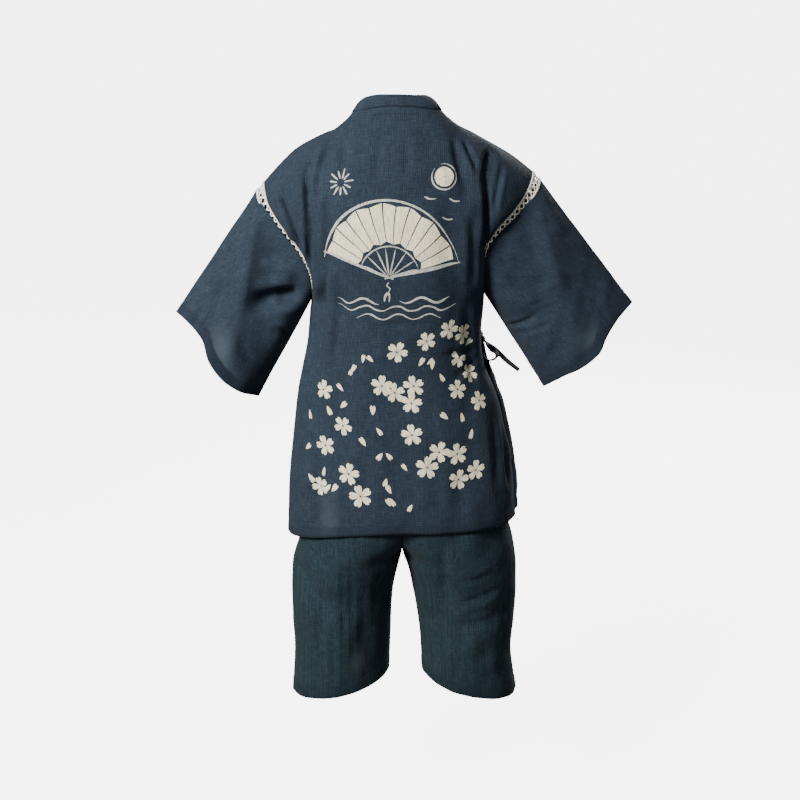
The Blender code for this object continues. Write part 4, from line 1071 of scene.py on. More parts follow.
# %% Measures of the shorts
SHORTS = table(
    "drop turn outer_left outer_right z_out inner_left inner_right z_in behind before lean",
    (0.00, 0, 0.150, -0.150, -0.548, 0.000, 0.000, -0.548, 0.093, 0.092, 0.000),
    (0.12, 2, 0.168, -0.170, -0.620, 0.000, 0.000, -0.620, 0.108, 0.099, 0.000),
    (0.24, 8, 0.182, -0.187, -0.690, 0.000, 0.000, -0.690, 0.118, 0.106, 0.000),
    (0.36, 22, 0.191, -0.203, -0.760, 0.000, 0.000, -0.752, 0.122, 0.110, 0.000),
    (0.46, 48, 0.197, -0.220, -0.818, 0.000, 0.000, -0.806, 0.121, 0.111, 0.000),
    (0.54, 90, 0.210, -0.227, -0.862, 0.000, 0.000, -0.843, 0.118, 0.110, 0.000),
    (0.60, 90, 0.213, -0.229, -0.895, 0.007, -0.013, -0.880, 0.112, 0.106, 0.000),
    (0.74, 90, 0.214, -0.228, -0.970, 0.016, -0.030, -0.950, 0.104, 0.100, 0.003),
    (0.87, 90, 0.212, -0.223, -1.056, 0.019, -0.040, -1.026, 0.098, 0.096, 0.004),
    (1.00, 90, 0.218, -0.236, -1.146, 0.022, -0.044, -1.100, 0.097, 0.096, 0.004),
)
SHORTS_HEM_SAG, SHORTS_MIDDLE = -0.006, -0.004
SHORTS_CREASES = {
    (1, 1): (
        (104, -770, 110, -900, 107, -1100, 4.5, 2.4),
        (90, -780, 93, -900, 90, -1100, 4, 1.4),
        (122, -790, 128, -900, 124, -1060, 6, 1.2),
        (188, -800, 160, -822, 126, -834, 5, 4.2),
        (190, -770, 170, -768, 150, -750, 7, -3),
        (204, -848, 188, -868, 160, -880, 6, 3),
        (20, -850, 50, -900, 52, -990, 12, 2),
        (60, -860, 74, -940, 70, -1030, 9, 1.8),
        (150, -920, 156, -1000, 150, -1090, 10, 2.6),
        (184, -960, 190, -1030, 184, -1110, 8, 2.2),
    ),
    (-1, 1): (
        (-80, -765, -86, -850, -84, -960, 10, 2.4),
        (-72, -790, -88, -850, -96, -930, 14, 2.2),
        (-12, -850, -36, -900, -66, -990, 12, 2.2),
        (-112, -908, -150, -904, -198, -880, 9, 2.6),
        (-110, -934, -146, -938, -184, -922, 7, 1.2),
        (-100, -860, -136, -866, -180, -846, 8, 2.4),
        (-56, -900, -68, -940, -84, -990, 10, 1.8),
        (-110, -980, -116, -1040, -110, -1100, 11, 2.6),
        (-160, -970, -172, -1040, -170, -1110, 14, 1.2),
        (-200, -900, -206, -970, -198, -1040, 8, 2.4),
    ),
    (1, -1): (
        (8, -832, 60, -822, 130, -780, 8, 4.2),
        (10, -850, 50, -860, 110, -850, 8, 3.4),
        (30, -890, 60, -960, 66, -1060, 10, 3.4),
        (110, -880, 116, -980, 108, -1090, 6, 2.8),
        (160, -900, 172, -990, 166, -1080, 10, 3),
    ),
    (-1, -1): (
        (-12, -830, -70, -818, -136, -770, 8, 4),
        (-14, -852, -60, -864, -120, -846, 8, 3.4),
        (-50, -890, -82, -970, -86, -1060, 10, 3.2),
        (-130, -880, -134, -980, -130, -1100, 6, 2.8),
        (-180, -910, -190, -1000, -186, -1090, 10, 3),
    ),
}


# %% Shorts
def shorts_grid(side, face, drops, columns):
    """One panel of the shorts: rows from the waist to the hem, columns from the middle to the side."""
    names = "turn outer_left outer_right z_out inner_left inner_right z_in behind before lean"
    rows = between(SHORTS["drop"], columns_of(SHORTS, names), drops)
    turn, outer_l, outer_r, z_out, inner_l, inner_r, z_in, behind, before, lean = (v[:, None] for v in rows.T)
    drops = drops[:, None]
    outside, inside = (outer_l, inner_l) if side > 0 else (outer_r, inner_r)
    inside = inside + SHORTS_MIDDLE * (1.0 - smooth((drops - 0.54) / 0.16))
    inside = np.maximum(inside * side, SHORTS_MIDDLE * side) * side
    start = -np.radians(np.clip(turn, 0.0, 90.0))
    share = np.linspace(0.0, 1.0, columns)[None, :]
    angle = start + (np.pi / 2.0 - start) * share
    radius = (outside - inside) / (1.0 - np.sin(start))
    sag = SHORTS_HEM_SAG * smooth((drops - 0.6) / 0.4) * np.sin(np.pi * share)
    points = np.stack(
        [
            outside - radius * (1.0 - np.sin(angle)),
            lean + face * (behind if face > 0 else before) * np.cos(angle),
            z_in + (z_out - z_in) * smooth(share) - sag,
        ],
        axis=-1,
    )
    if face < 0:
        return points
    keep = smooth(share / 0.15) * smooth((1.0 - share) / 0.12)
    return points + (pressed(points, SHORTS_FOLDS, 1) - points) * keep[..., None]


legs = {}
for (side, face), creases in SHORTS_CREASES.items():
    drops = np.linspace(0.0, 1.0, 112)
    share = np.linspace(0.0, 1.0, 60)[None, :]
    leg = Cloth(shorts_grid(side, face, drops, 60), flip=side * face > 0, middle=42)
    keep = smooth(share / 0.10) * smooth((1.0 - share) / 0.09) * smooth(drops / 0.06)[:, None]
    leg.u, leg.v = calm(leg.u, 26.0), calm(leg.v.T, 22.0).T
    gathers = 0.0016 * np.exp(-leg.fall / 0.045) * np.sin(2.0 * np.pi * leg.u / 0.0135 + 3.0 * np.sin(leg.u * 41.0))
    made = rumple(leg.grid, 19 + 2 * side + face, 0.028) - 0.8 * crease_depth(leg.grid, creases) + gathers
    leg.push(made * keep)
    leg.push(hemmed(leg, SHORTS_HEM))
    leg.marks["thin"] = np.zeros_like(leg.rise)
    # Painted light: a paler patch low on the back of the left leg, where light shines through the cloth.
    if face > 0 and side > 0:
        leg.marks["thin"] = 0.40 * blob(leg.grid, 0.078, -1.045, 0.016, 0.020) * (1.0 - leg.marks["doubled"])
    name = ("back" if face > 0 else "front") + ("_left" if side > 0 else "_right")
    legs[name] = (leg, cloth_piece(f"shorts_{name}_cloth", leg, SHORTS_COTTON, "shorts_cotton", [f"shorts_{name}"]))

# %% [markdown]
# The waistband is a casing gathered by elastic. Its small, uneven pleats and the three rows of stitches that hold the elastic
# are a wave round the ring and a wave down it.

# %% Waistband
WAISTBAND_HEIGHT = 0.034
angle = np.linspace(0.0, 2.0 * np.pi, 361)[:-1][None, :]
down = np.linspace(0.0, 1.0, 19)[:, None]
depth = np.where(np.cos(angle) > 0, SHORTS["behind"][0], SHORTS["before"][0])
waist = np.stack(
    np.broadcast_arrays(
        SHORTS["outer_left"][0] * np.sin(angle),
        depth * np.cos(angle),
        SHORTS["z_out"][0] + WAISTBAND_HEIGHT * (1.0 - down),
    ),
    axis=-1,
)
waistband = Cloth(waist, flip=True, wrap=True)
pleats = 0.0013 * np.sin(72.0 * angle + 2.2 * np.sin(5.0 * angle) + 1.7 * np.sin(11.0 * angle))
rows_of_elastic = 0.0011 * np.abs(np.sin(3.0 * np.pi * down)) ** 0.6
waistband.push(pleats * (0.35 + 0.65 * np.sin(np.pi * down)) + rows_of_elastic - 0.0008)
shorts_waistband = cloth_piece("shorts_waistband_cloth", waistband, SHORTS_COTTON, "shorts_cotton", ["shorts_waistband"])

# %% [markdown]
# What repeats is made by Geometry Nodes: lace, stitches and blossoms. A node tree is built in the script, run once on a small
# carrier mesh, and the result is taken off as a plain mesh.

# %% Helpers for node trees
def new_tree(name, *sockets):
    """An empty geometry tree with named inputs, each a label, a kind and a value."""
    tree = bpy.data.node_groups.new(name, "GeometryNodeTree")
    tree.interface.new_socket("Geometry", in_out="INPUT", socket_type="NodeSocketGeometry")
    for label, kind, value in sockets:
        made = tree.interface.new_socket(label, in_out="INPUT", socket_type=f"NodeSocket{kind}")
        if value is not None:
            made.default_value = value
    tree.interface.new_socket("Geometry", in_out="OUTPUT", socket_type="NodeSocketGeometry")
    return tree, tree.nodes.new("NodeGroupInput"), tree.nodes.new("NodeGroupOutput")


def finish_tree(tree, start, end, geometry):
    """Every tree ends in real geometry with a material."""
    real = add_node(tree, "GeometryNodeRealizeInstances", {"Geometry": geometry})
    painted = add_node(tree, "GeometryNodeSetMaterial", {"Geometry": real.outputs[0], "Material": start.outputs["Material"]})
    tree.links.new(painted.outputs[0], end.inputs[0])


def grown(tree, carrier_mesh, **values):
    """Runs a tree on a carrier mesh and returns the result as a plain mesh."""
    carrier = put("carrier", carrier_mesh)
    modifier = carrier.modifiers.new(tree.name, "NODES")
    modifier.node_group = tree
    for item in tree.interface.items_tree:
        if item.item_type == "SOCKET" and item.in_out == "INPUT" and item.name.replace(" ", "_") in values:
            modifier[item.identifier] = values[item.name.replace(" ", "_")]
    evaluated = carrier.evaluated_get(bpy.context.evaluated_depsgraph_get())
    made = bpy.data.meshes.new_from_object(evaluated)
    carrier.modifiers.remove(modifier)
    bpy.data.objects.remove(carrier)
    return made


def line_mesh(name, lines):
    """Several lines of points as one mesh of edges."""
    points, edges = [], []
    for line in lines:
        edges += [(len(points) + i, len(points) + i + 1) for i in range(len(line) - 1)]
        points += [tuple(map(float, p)) for p in line]
    mesh = bpy.data.meshes.new(name)
    mesh.from_pydata(points, edges, [])
    return mesh


# %% [markdown]
# The lace insert is a ladder lace: two firm edges with thick threads that cross between them every 12.5 mm. One crossing is
# built flat, repeated along a line, and the strip is then bent onto the band between the two rings of each armhole.

# %% Tree: ladder lace
LACE_PITCH = 0.0125
lace_tree, start, end = new_tree(
    "ladder_lace", ("Pitch", "Float", LACE_PITCH), ("Width", "Float", 0.02), ("Thread", "Float", 0.0016),
    ("Edge", "Float", 0.0024), ("Crossings", "Int", 40), ("Material", "Material", None),
)


def lace_point(x, y):
    """A corner of one crossing, as shares of its pitch and width."""
    wide = maths(lace_tree, "MULTIPLY", start.outputs["Pitch"], x)
    high = maths(lace_tree, "MULTIPLY", start.outputs["Width"], y)
    return add_node(lace_tree, "ShaderNodeCombineXYZ", {0: wide, 1: high}).outputs[0]


def lace_thread(first, last, radius, sides, points):
    """A thread from one corner to another."""
    line = add_node(lace_tree, "GeometryNodeCurvePrimitiveLine", {"Start": lace_point(*first), "End": lace_point(*last)})
    even = add_node(lace_tree, "GeometryNodeResampleCurve", {"Curve": line.outputs[0], "Count": points})
    round_it = add_node(lace_tree, "GeometryNodeCurvePrimitiveCircle", {"Resolution": sides, "Radius": radius})
    return add_node(
        lace_tree, "GeometryNodeCurveToMesh", {"Curve": even.outputs[0], "Profile Curve": round_it.outputs[0]}
    ).outputs[0]


thread, edge_thread = start.outputs["Thread"], start.outputs["Edge"]
threads = [
    lace_thread((0.0, 0.10), (1.0, 0.90), thread, 6, 6),
    lace_thread((0.0, 0.90), (1.0, 0.10), thread, 6, 6),
    lace_thread((0.0, 0.07), (1.0, 0.07), edge_thread, 6, 5),
    lace_thread((0.0, 0.93), (1.0, 0.93), edge_thread, 6, 5),
]
knot_size = maths(lace_tree, "MULTIPLY", thread, 1.7)
for spot in ((0.5, 0.5), (0.0, 0.12), (0.0, 0.88)):
    ball = add_node(lace_tree, "GeometryNodeMeshIcoSphere", {"Radius": knot_size, "Subdivisions": 1})
    threads.append(
        add_node(lace_tree, "GeometryNodeTransform", {"Geometry": ball.outputs[0], "Translation": lace_point(*spot)}).outputs[0]
    )
crossing = add_node(lace_tree, "GeometryNodeJoinGeometry")
for one in threads:
    lace_tree.links.new(one, crossing.inputs[0])
flattened = add_node(lace_tree, "GeometryNodeTransform", {"Geometry": crossing.outputs[0], "Scale": (1.0, 1.0, 0.55)})
step_along = add_node(lace_tree, "ShaderNodeCombineXYZ", {0: start.outputs["Pitch"]}).outputs[0]
row = add_node(lace_tree, "GeometryNodeMeshLine", {"Count": start.outputs["Crossings"], "Offset": step_along})
repeated = add_node(lace_tree, "GeometryNodeInstanceOnPoints", {"Points": row.outputs[0], "Instance": flattened.outputs[0]})
finish_tree(lace_tree, start, end, repeated.outputs[0])

# %% Lace in both armholes
def lace_piece(side):
    rings = Cloth(np.stack([arm_ring(side), lace_ring(side)]), flip=side < 0, wrap=True)
    middle_line = (rings.grid[0] + rings.grid[1]) / 2.0
    closed = np.concatenate([middle_line, middle_line[:1]])
    run = run_along(closed)
    crossings = round(run[-1] / LACE_PITCH)
    width = float(np.linalg.norm(rings.grid[1] - rings.grid[0], axis=-1).mean())
    word = "left" if side > 0 else "right"
    strip = grown(
        lace_tree, bpy.data.meshes.new("lace"), Pitch=LACE_PITCH, Width=width, Crossings=crossings, Material=COTTON_LACE
    )
    flat = np.zeros(len(strip.vertices) * 3, np.float32)
    strip.vertices.foreach_get("co", flat)
    flat = flat.reshape(-1, 3)
    at = np.interp(flat[:, 0] / (crossings * LACE_PITCH) % 1.0 * run[-1], run, np.arange(len(run), dtype=float))
    k = at.astype(int) % len(middle_line)
    after, u = (k + 1) % len(middle_line), (at - at.astype(int))[:, None]
    share = (flat[:, 1:2] / width - 0.5) * 1.04 + 0.5
    hidden = 1.0 - lace_shown(side)[k]
    sunk = (0.0014 * smooth(hidden / 0.25) + 0.0030 * smooth((hidden - 0.84) / 0.12))[:, None]
    body_side = rings.grid[0, k] * (1 - u) + rings.grid[0, after] * u
    arm_side = rings.grid[1, k] * (1 - u) + rings.grid[1, after] * u
    normal = unit(rings.normals[0, k] * (1 - u) + rings.normals[0, after] * u)
    placed = body_side * (1 - share) + arm_side * share + normal * (flat[:, 2:] + 0.0002 - sunk)
    strip.vertices.foreach_set("co", placed.astype(np.float32).ravel())
    strip.name = f"lace_{word}"
    strip.update()
    shape = bmesh.new()
    shape.from_mesh(strip)
    bmesh.ops.remove_doubles(shape, verts=shape.verts, dist=0.00002)
    bmesh.ops.recalc_face_normals(shape, faces=shape.faces)
    shape.to_mesh(strip)
    shape.free()
    strip.shade_smooth()
    piece = put(f"lace_{word}", strip)
    print(piece.name, "crossings:", crossings, "ring in mm:", round(run[-1] * 1000), "width in mm:", round(width * 1000, 1))
    return dress(piece, "lace", f"lace_{word}_back", f"lace_{word}_front")


lace_left, lace_right = lace_piece(1), lace_piece(-1)

# %% [markdown]
# The ties are flat tapes of doubled cloth. At the wearer's right side they are tied in a small bow, whose loops and tails stand
# off the jacket. Each tape follows a short table of places with the way its flat side faces, and is narrower where it is pulled
# into the knot.

# %% Measures of the ties
TIE_WIDTH, TIE_GATHER, TIE_GATHER_LENGTH = 0.013, 0.55, 0.25
TIE_KNOT = np.array([-0.1540, -0.0350, -0.4315])
TIE_KNOT_SIZE = np.array([0.0065, 0.0085, 0.0075])
FREE = "x y z face_x face_y face_z"
LAID = "across level off face_x face_y face_z"
TIES = {
    "tie_loop_behind": (table(
        FREE,
        (-0.1585, -0.0270, -0.4340, -0.85, 0.45, 0.25),
        (-0.1710, -0.0050, -0.4420, -0.30, 0.92, 0.25),
        (-0.1805, 0.0065, -0.4535, -0.84, 0.54, -0.05),
        (-0.1705, -0.0010, -0.4635, -0.10, 0.42, -0.90),
        (-0.1590, -0.0170, -0.4620, 0.40, 0.48, -0.78),
        (-0.1525, -0.0320, -0.4440, 0.50, 0.60, -0.60),
    ), (0, -1)),
    "tie_tail_behind": (table(
        FREE,
        (-0.1645, -0.0400, -0.4380, -0.80, 0.25, 0.50),
        (-0.1810, -0.0200, -0.4500, -0.42, 0.56, 0.70),
        (-0.2000, -0.0040, -0.4660, -0.28, 0.70, 0.66),
        (-0.2225, 0.0000, -0.4830, -0.24, 0.72, 0.64),
    ), (0,)),
    "tie_root_side": (table(
        FREE,
        (-0.1514, 0.0030, -0.4225, -1.00, 0.00, 0.00),
        (-0.1518, -0.0120, -0.4225, -1.00, 0.10, 0.00),
        (-0.1512, -0.0250, -0.4235, -0.95, 0.30, 0.00),
    ), (-1,)),
    "tie_loop_before": (table(
        LAID,
        (-0.785, 1.183, 0.0080, -0.85, -0.50, 0.00),
        (-0.640, 1.178, 0.0120, -0.70, -0.70, 0.00),
        (-0.540, 1.179, 0.0120, 0.40, -0.90, 0.00),
        (-0.500, 1.180, 0.0085, 0.95, 0.20, 0.00),
        (-0.540, 1.182, 0.0050, 0.60, 0.75, 0.00),
        (-0.640, 1.184, 0.0046, 0.70, 0.70, 0.00),
        (-0.750, 1.190, 0.0005, 0.80, 0.60, 0.00),
    ), (0, -1)),
    "tie_tail_before": (table(
        LAID,
        (-0.800, 1.246, 0.0030, -0.85, -0.50, 0.00),
        (-0.805, 1.300, 0.0034, -0.86, -0.50, 0.00),
        (-0.805, 1.400, 0.0026, -0.86, -0.50, 0.10),
        (-0.810, 1.520, 0.0026, -0.86, -0.50, 0.10),
    ), (0,)),
    "tie_root_before": (table(
        LAID,
        (-0.655, 1.250, 0.0043, -0.70, -0.70, 0.00),
        (-0.720, 1.232, 0.0044, -0.80, -0.60, 0.00),
        (-0.775, 1.220, 0.0040, -0.85, -0.50, 0.00),
    ), (-1,)),
}


# %% Ties
def on_front(across_it, level, off):
    """A point that stands off the outer front."""
    here, step = front_surface(across_it, level, 1), 0.01
    run = front_surface(across_it + step, level, 1) - front_surface(across_it - step, level, 1)
    fall = front_surface(across_it, level + step, 1) - front_surface(across_it, level - step, 1)
    normal = np.cross(fall, run)
    return here + normal / np.linalg.norm(normal) * off


def tape_cloth(rows, knotted, clear=0.0012):
    """A tape as a grid of rows along it, its ends in knotted drawn into the knot."""
    if "off" in rows:
        path = np.array([on_front(*spot) for spot in zip(rows["across"], rows["level"], rows["off"])])
    else:
        path = columns_of(rows, "x y z")
    for end_of_it in knotted:
        away = path[end_of_it] - TIE_KNOT
        path[end_of_it] = TIE_KNOT + away / np.linalg.norm(away / TIE_KNOT_SIZE) + away / np.linalg.norm(away) * clear
    stations = np.linspace(0.0, 1.0, 16 * (len(path) - 1) + 1)
    chord = run_along(path)
    line = along(path, stations)
    facing = between(chord / chord[-1], columns_of(rows, "face_x face_y face_z"), stations)
    run = unit(np.gradient(line, axis=0))
    width = unit(np.cross(facing, run))
    normal = np.cross(run, width)
    half = np.full(len(stations), TIE_WIDTH / 2.0)
    gather = TIE_GATHER
    if knotted == (0,):
        half *= 1.10 - 0.48 * stations
        gather = 0.85
    for end_of_it in knotted:
        reach = stations if end_of_it == 0 else 1.0 - stations
        half *= gather + (1.0 - gather) * smooth(reach / TIE_GATHER_LENGTH)
    shares = np.linspace(-1.0, 1.0, 9)
    bow = 0.0004 * (1.0 - shares**2) + 0.0002 * np.sin(5.0 * shares)
    grid = line[:, None] + width[:, None] * (half[:, None] * shares)[..., None] + normal[:, None] * bow[:, None]
    made = Cloth(grid)
    made.marks["doubled"] = np.zeros(grid.shape[:2])
    return made


ties = {}
for name, (rows, knotted) in TIES.items():
    tape = tape_cloth(rows, knotted)
    ties[name] = (tape, cloth_piece(name + "_tape", tape, TIE_TAPE, "tie_tape", [name], wall=TAPE_WALL, offset=0.0))

# %% [markdown]
# The knot is a tape wound once round the others, so it is a small lump with furrows between the turns. A round mesh is drawn
# into that shape point by point.

# %% Knot
shape = bmesh.new()
bmesh.ops.create_uvsphere(shape, u_segments=40, v_segments=26, radius=1.0)
for corner in shape.verts:
    x, y, z = corner.co
    furrow = math.exp(-(((x - 0.42) / 0.13) ** 2)) + math.exp(-(((x + 0.38 + 0.2 * z) / 0.13) ** 2))
    turn = 0.35 * math.exp(-(((z + 0.5 * y) / 0.12) ** 2)) * (abs(x) < 0.4)
    size = 1.03 - 0.17 * furrow - 0.12 * turn + 0.04 * math.sin(9.0 * y + 4.0 * z)
    corner.co = Vector(TIE_KNOT) + Vector((x, y, z)) * size * Vector(TIE_KNOT_SIZE)
knot_mesh = bpy.data.meshes.new("tie_knot_turns")
shape.to_mesh(knot_mesh)
shape.free()
spun = knot_mesh.uv_layers.new(name="cloth")
for loop in knot_mesh.loops:
    place = knot_mesh.vertices[loop.vertex_index].co - Vector(TIE_KNOT)
    spun.data[loop.index].uv = (place.x, math.atan2(place.z, place.y) * 0.008)
knot_mesh.shade_smooth()
knot_mesh.materials.append(TIE_TAPE)
knot = dress(put("tie_knot_turns", knot_mesh), "tie_tape", "tie_knot")
print("knot faces:", len(knot_mesh.polygons))

# %% [markdown]
# Prints are a thin film on the cloth. A motif is drawn flat in metres, and each of its points is then found on the back by its
# distance across and down the cloth, so it bends with the folds and narrows round the sides as real print does. The faces are
# small, a few millimetres, or a fold would come through them.

# %% From flat drawing to cloth
PRINT_OFF = 0.0004


def read_grid(values, r, c):
    """Value of a grid at places between its points."""
    r, c = np.clip(r, 0, values.shape[0] - 1.001), np.clip(c, 0, values.shape[1] - 1.001)
    r0, c0 = r.astype(int), c.astype(int)
    a, b = r - r0, c - c0
    if values.ndim == 3:
        a, b = a[:, None], b[:, None]
    top = values[r0, c0] * (1 - b) + values[r0, c0 + 1] * b
    low = values[r0 + 1, c0] * (1 - b) + values[r0 + 1, c0 + 1] * b
    return top * (1 - a) + low * a


U_DOWN, U_ACROSS = np.gradient(back.u)
V_DOWN, V_ACROSS = np.gradient(back.v)


def on_back(anchor, drawing):
    """Points of a flat drawing on the back. The anchor is its middle as seen square on, x and z."""
    seen = np.linalg.norm(back.grid[..., (0, 2)] - np.array(anchor), axis=-1)
    r0, c0 = np.unravel_index(seen.argmin(), seen.shape)
    want_u, want_v = back.u[r0, c0] + drawing[:, 0], back.v[r0, c0] - drawing[:, 1]
    r, c = np.full(len(drawing), float(r0)), np.full(len(drawing), float(c0))
    for _ in range(12):
        miss_u, miss_v = want_u - read_grid(back.u, r, c), want_v - read_grid(back.v, r, c)
        ur, uc, vr, vc = (read_grid(g, r, c) for g in (U_DOWN, U_ACROSS, V_DOWN, V_ACROSS))
        size = ur * vc - uc * vr
        r = r + np.clip((miss_u * vc - miss_v * uc) / size, -8, 8)
        c = c + np.clip((miss_v * ur - miss_u * vr) / size, -8, 8)
        r, c = np.clip(r, 0, back.grid.shape[0] - 1.001), np.clip(c, 0, back.grid.shape[1] - 1.001)
    normals = read_grid(back.normals, r, c)
    return read_grid(back.grid, r, c) + normals * PRINT_OFF, np.stack([want_u, want_v], axis=-1)


def print_piece(name, parts, finish):
    """One mesh of several printed parts, each a list of points, their cloth places and faces."""
    points, places, faces = [], [], []
    for some_points, some_places, some_faces in parts:
        faces += [tuple(i + len(points) for i in face) for face in some_faces]
        points += some_points.tolist()
        places += some_places.tolist()
    mesh = bpy.data.meshes.new(name)
    mesh.from_pydata(points, [], faces)
    layer = mesh.uv_layers.new(name="cloth")
    corners = np.array(places, np.float32)[[loop.vertex_index for loop in mesh.loops]]
    layer.data.foreach_set("uv", corners.ravel())
    mesh.shade_smooth()
    mesh.materials.append(finish)
    print(name, "faces:", len(faces))
    return dress(put(name, mesh), "jacket_cotton")


# %% [markdown]
# The sakura blossom has five notched petals with a thin dark gap between them and a dark slit from the heart into each. One
# petal is a small grid of faces; a node tree turns it five times round the heart.

# %% Tree: blossom
blossom_tree, start, end = new_tree(
    "sakura_blossom", ("Petals", "Int", 5), ("Heart", "Float", 0.001), ("Material", "Material", None)
)
dots = add_node(blossom_tree, "GeometryNodePoints", {"Count": start.outputs["Petals"]})
number = add_node(blossom_tree, "GeometryNodeInputIndex").outputs[0]
turned = add_node(blossom_tree, "ShaderNodeCombineXYZ", {2: maths(blossom_tree, "MULTIPLY", number, 2.0 * math.pi / 5.0)})
placed = add_node(blossom_tree, "GeometryNodeInstanceOnPoints",
                  {"Points": dots.outputs[0], "Instance": start.outputs["Geometry"], "Rotation": turned.outputs[0]})
out_from_heart = add_node(blossom_tree, "ShaderNodeCombineXYZ", {1: start.outputs["Heart"]})
spread = add_node(blossom_tree, "GeometryNodeTranslateInstances",
                  {"Instances": placed.outputs[0], "Translation": out_from_heart.outputs[0]})
finish_tree(blossom_tree, start, end, spread.outputs[0])


# %% Petal and blossoms
def petal_mesh(length, half_width, notch=0.16, slit=0.10):
    """A petal that points up from its base, as two halves that part along a slit near the base."""
    down = np.linspace(0.0, 1.0, 8)
    points, faces = [], []
    for side in (-1.0, 1.0):
        first = len(points)
        for t in down:
            half = half_width * (t**0.62) * (1.0 - 0.52 * t**4) * 1.18
            inner = slit * max(0.0, 1.0 - t / 0.5)
            for s in np.linspace(inner, 1.0, 5):
                reach = 1.0 - notch * math.exp(-((s / 0.38) ** 2)) - 0.10 * s**3
                points.append((side * s * half, length * t * (1.0 + (reach - 1.0) * t**3), 0.0))
        for r in range(len(down) - 1):
            for c in range(4):
                a = first + r * 5 + c
                face = (a, a + 1, a + 6, a + 5)
                faces.append(face if side > 0 else face[::-1])
    mesh = bpy.data.meshes.new("petal")
    mesh.from_pydata(points, [], faces)
    return mesh


def flat_shape(mesh):
    return np.array([v.co[:2] for v in mesh.vertices]), [tuple(face.vertices) for face in mesh.polygons]


BLOSSOM_RADIUS = 0.020
full_blossom = flat_shape(grown(blossom_tree, petal_mesh(0.0188, 0.0075), Petals=5, Heart=0.0012, Material=PRINT_PASTE))
four_petals = flat_shape(grown(blossom_tree, petal_mesh(0.0188, 0.0075), Petals=4, Heart=0.0012, Material=PRINT_PASTE))
loose_petal = flat_shape(petal_mesh(0.0185, 0.0062, notch=0.22, slit=0.0))
print("faces of a blossom:", len(full_blossom[1]))

# Places in millimetres as seen square on, and the size of a blossom
BLOSSOMS = (
    (-86, -384, 38), (-112, -396, 40), (-45, -404, 36), (3, -421, 40), (-126, -472, 38), (34, -483, 41), (7, -494, 39),
    (-23, -482, 40), (-19, -517, 40), (-104, -500, 38), (-143, -524, 38), (137, -499, 37), (-22, -576, 41), (-69, -604, 41),
    (-50, -634, 44), (-105, -614, 41), (-107, -657, 40), (-138, -644, 38), (93, -649, 43), (74, -685, 44), (134, -598, 38),
    (146, -678, 36), (103, -563, 36),
)
FOUR_PETALS = ((-107, -442, 36),)
PETALS = (
    (-123, -417), (-75, -475), (-81, -543), (-111, -546), (-129, -580), (49, -530), (39, -567), (69, -587), (38, -612),
    (18, -614), (-5, -636), (-16, -708), (106, -489), (103, -521), (129, -536), (164, -552), (168, -610), (139, -652),
    (165, -664), (133, -678), (120, -675), (-36, -443), (66, -435), (54, -436), (88, -462), (82, -452), (-52, -442),
    (-59, -446), (28, -660), (20, -671), (22, -698), (12, -698),
)


def turned_drawing(points, angle, size):
    way = np.array([[math.cos(angle), math.sin(angle)], [-math.sin(angle), math.cos(angle)]])
    return points @ way * size


chance = np.random.default_rng(29)
printed = []
for drawing, places in ((full_blossom, BLOSSOMS), (four_petals, FOUR_PETALS)):
    for x, z, size in places:
        flat = turned_drawing(drawing[0], chance.uniform(0.0, 2.0 * math.pi), size / MILLIMETRES / (2.0 * BLOSSOM_RADIUS))
        printed.append((*on_back((x / MILLIMETRES, z / MILLIMETRES), flat), drawing[1]))
for x, z in PETALS:
    flat = loose_petal[0] - (0.0, 0.009)
    flat = flat * (chance.uniform(0.75, 1.0), 1.0)
    angle = chance.uniform(-0.9, 0.9) + math.pi * (chance.random() < 0.5)
    flat = turned_drawing(flat, angle, chance.uniform(0.85, 1.05))
    printed.append((*on_back((x / MILLIMETRES, z / MILLIMETRES), flat), loose_petal[1]))
print_blossoms = print_piece("print_blossoms", printed, PRINT_PASTE)

# %% [markdown]
# The upper back carries a large drawing in two tones: filled cream shapes and loose, pale brush lines. What is drawn here is a
# generic summer scene of the same size and colours: an open folding fan with its tassel, a moon, three birds, a burst and flowing
# water. A brush line is a ribbon along a smooth line that swells and thins, with slightly ragged edges.

# %% Upper back: helpers for brush lines and fills
def brush_line(points, width, thin_ends=(0.35, 0.2), seed=0):
    """A ribbon along a smooth line, as flat points and faces."""
    points = np.array([(x, y, 0.0) for x, y in points])
    length = np.linalg.norm(np.diff(points, axis=0), axis=1).sum()
    count = max(6, int(length / 0.003))
    t = np.linspace(0.0, 1.0, count)
    line = along(points, t)[:, :2]
    run = unit(np.gradient(line, axis=0))
    normal = np.stack([-run[:, 1], run[:, 0]], axis=-1)
    rough = np.random.default_rng(seed)
    half = width / 2.0 * (0.86 + 0.16 * np.sin(5.0 * t + seed)) * (1.0 + rough.normal(0.0, 0.05, count))
    half *= thin_ends[0] + (1 - thin_ends[0]) * smooth(t / 0.18)
    half *= thin_ends[1] + (1 - thin_ends[1]) * smooth((1 - t) / 0.22)
    rows = np.stack([line + normal * (half * s)[:, None] for s in (-1.0, 0.0, 1.0)], axis=1)
    faces = [(3 * i + j, 3 * i + j + 3, 3 * i + j + 4, 3 * i + j + 1) for i in range(count - 1) for j in range(2)]
    return rows.reshape(-1, 2), [face[::-1] for face in faces]


def way_of(angle):
    """A flat direction, its angle anticlockwise from the right."""
    return np.array([math.cos(angle), math.sin(angle)])


def arc(x, y, radius, start_angle, end_angle, count=9):
    """Points of an arc, angles in degrees anticlockwise from the right."""
    angles = np.radians(np.linspace(start_angle, end_angle, count))
    return [(x + radius * math.cos(a), y + radius * math.sin(a)) for a in angles]


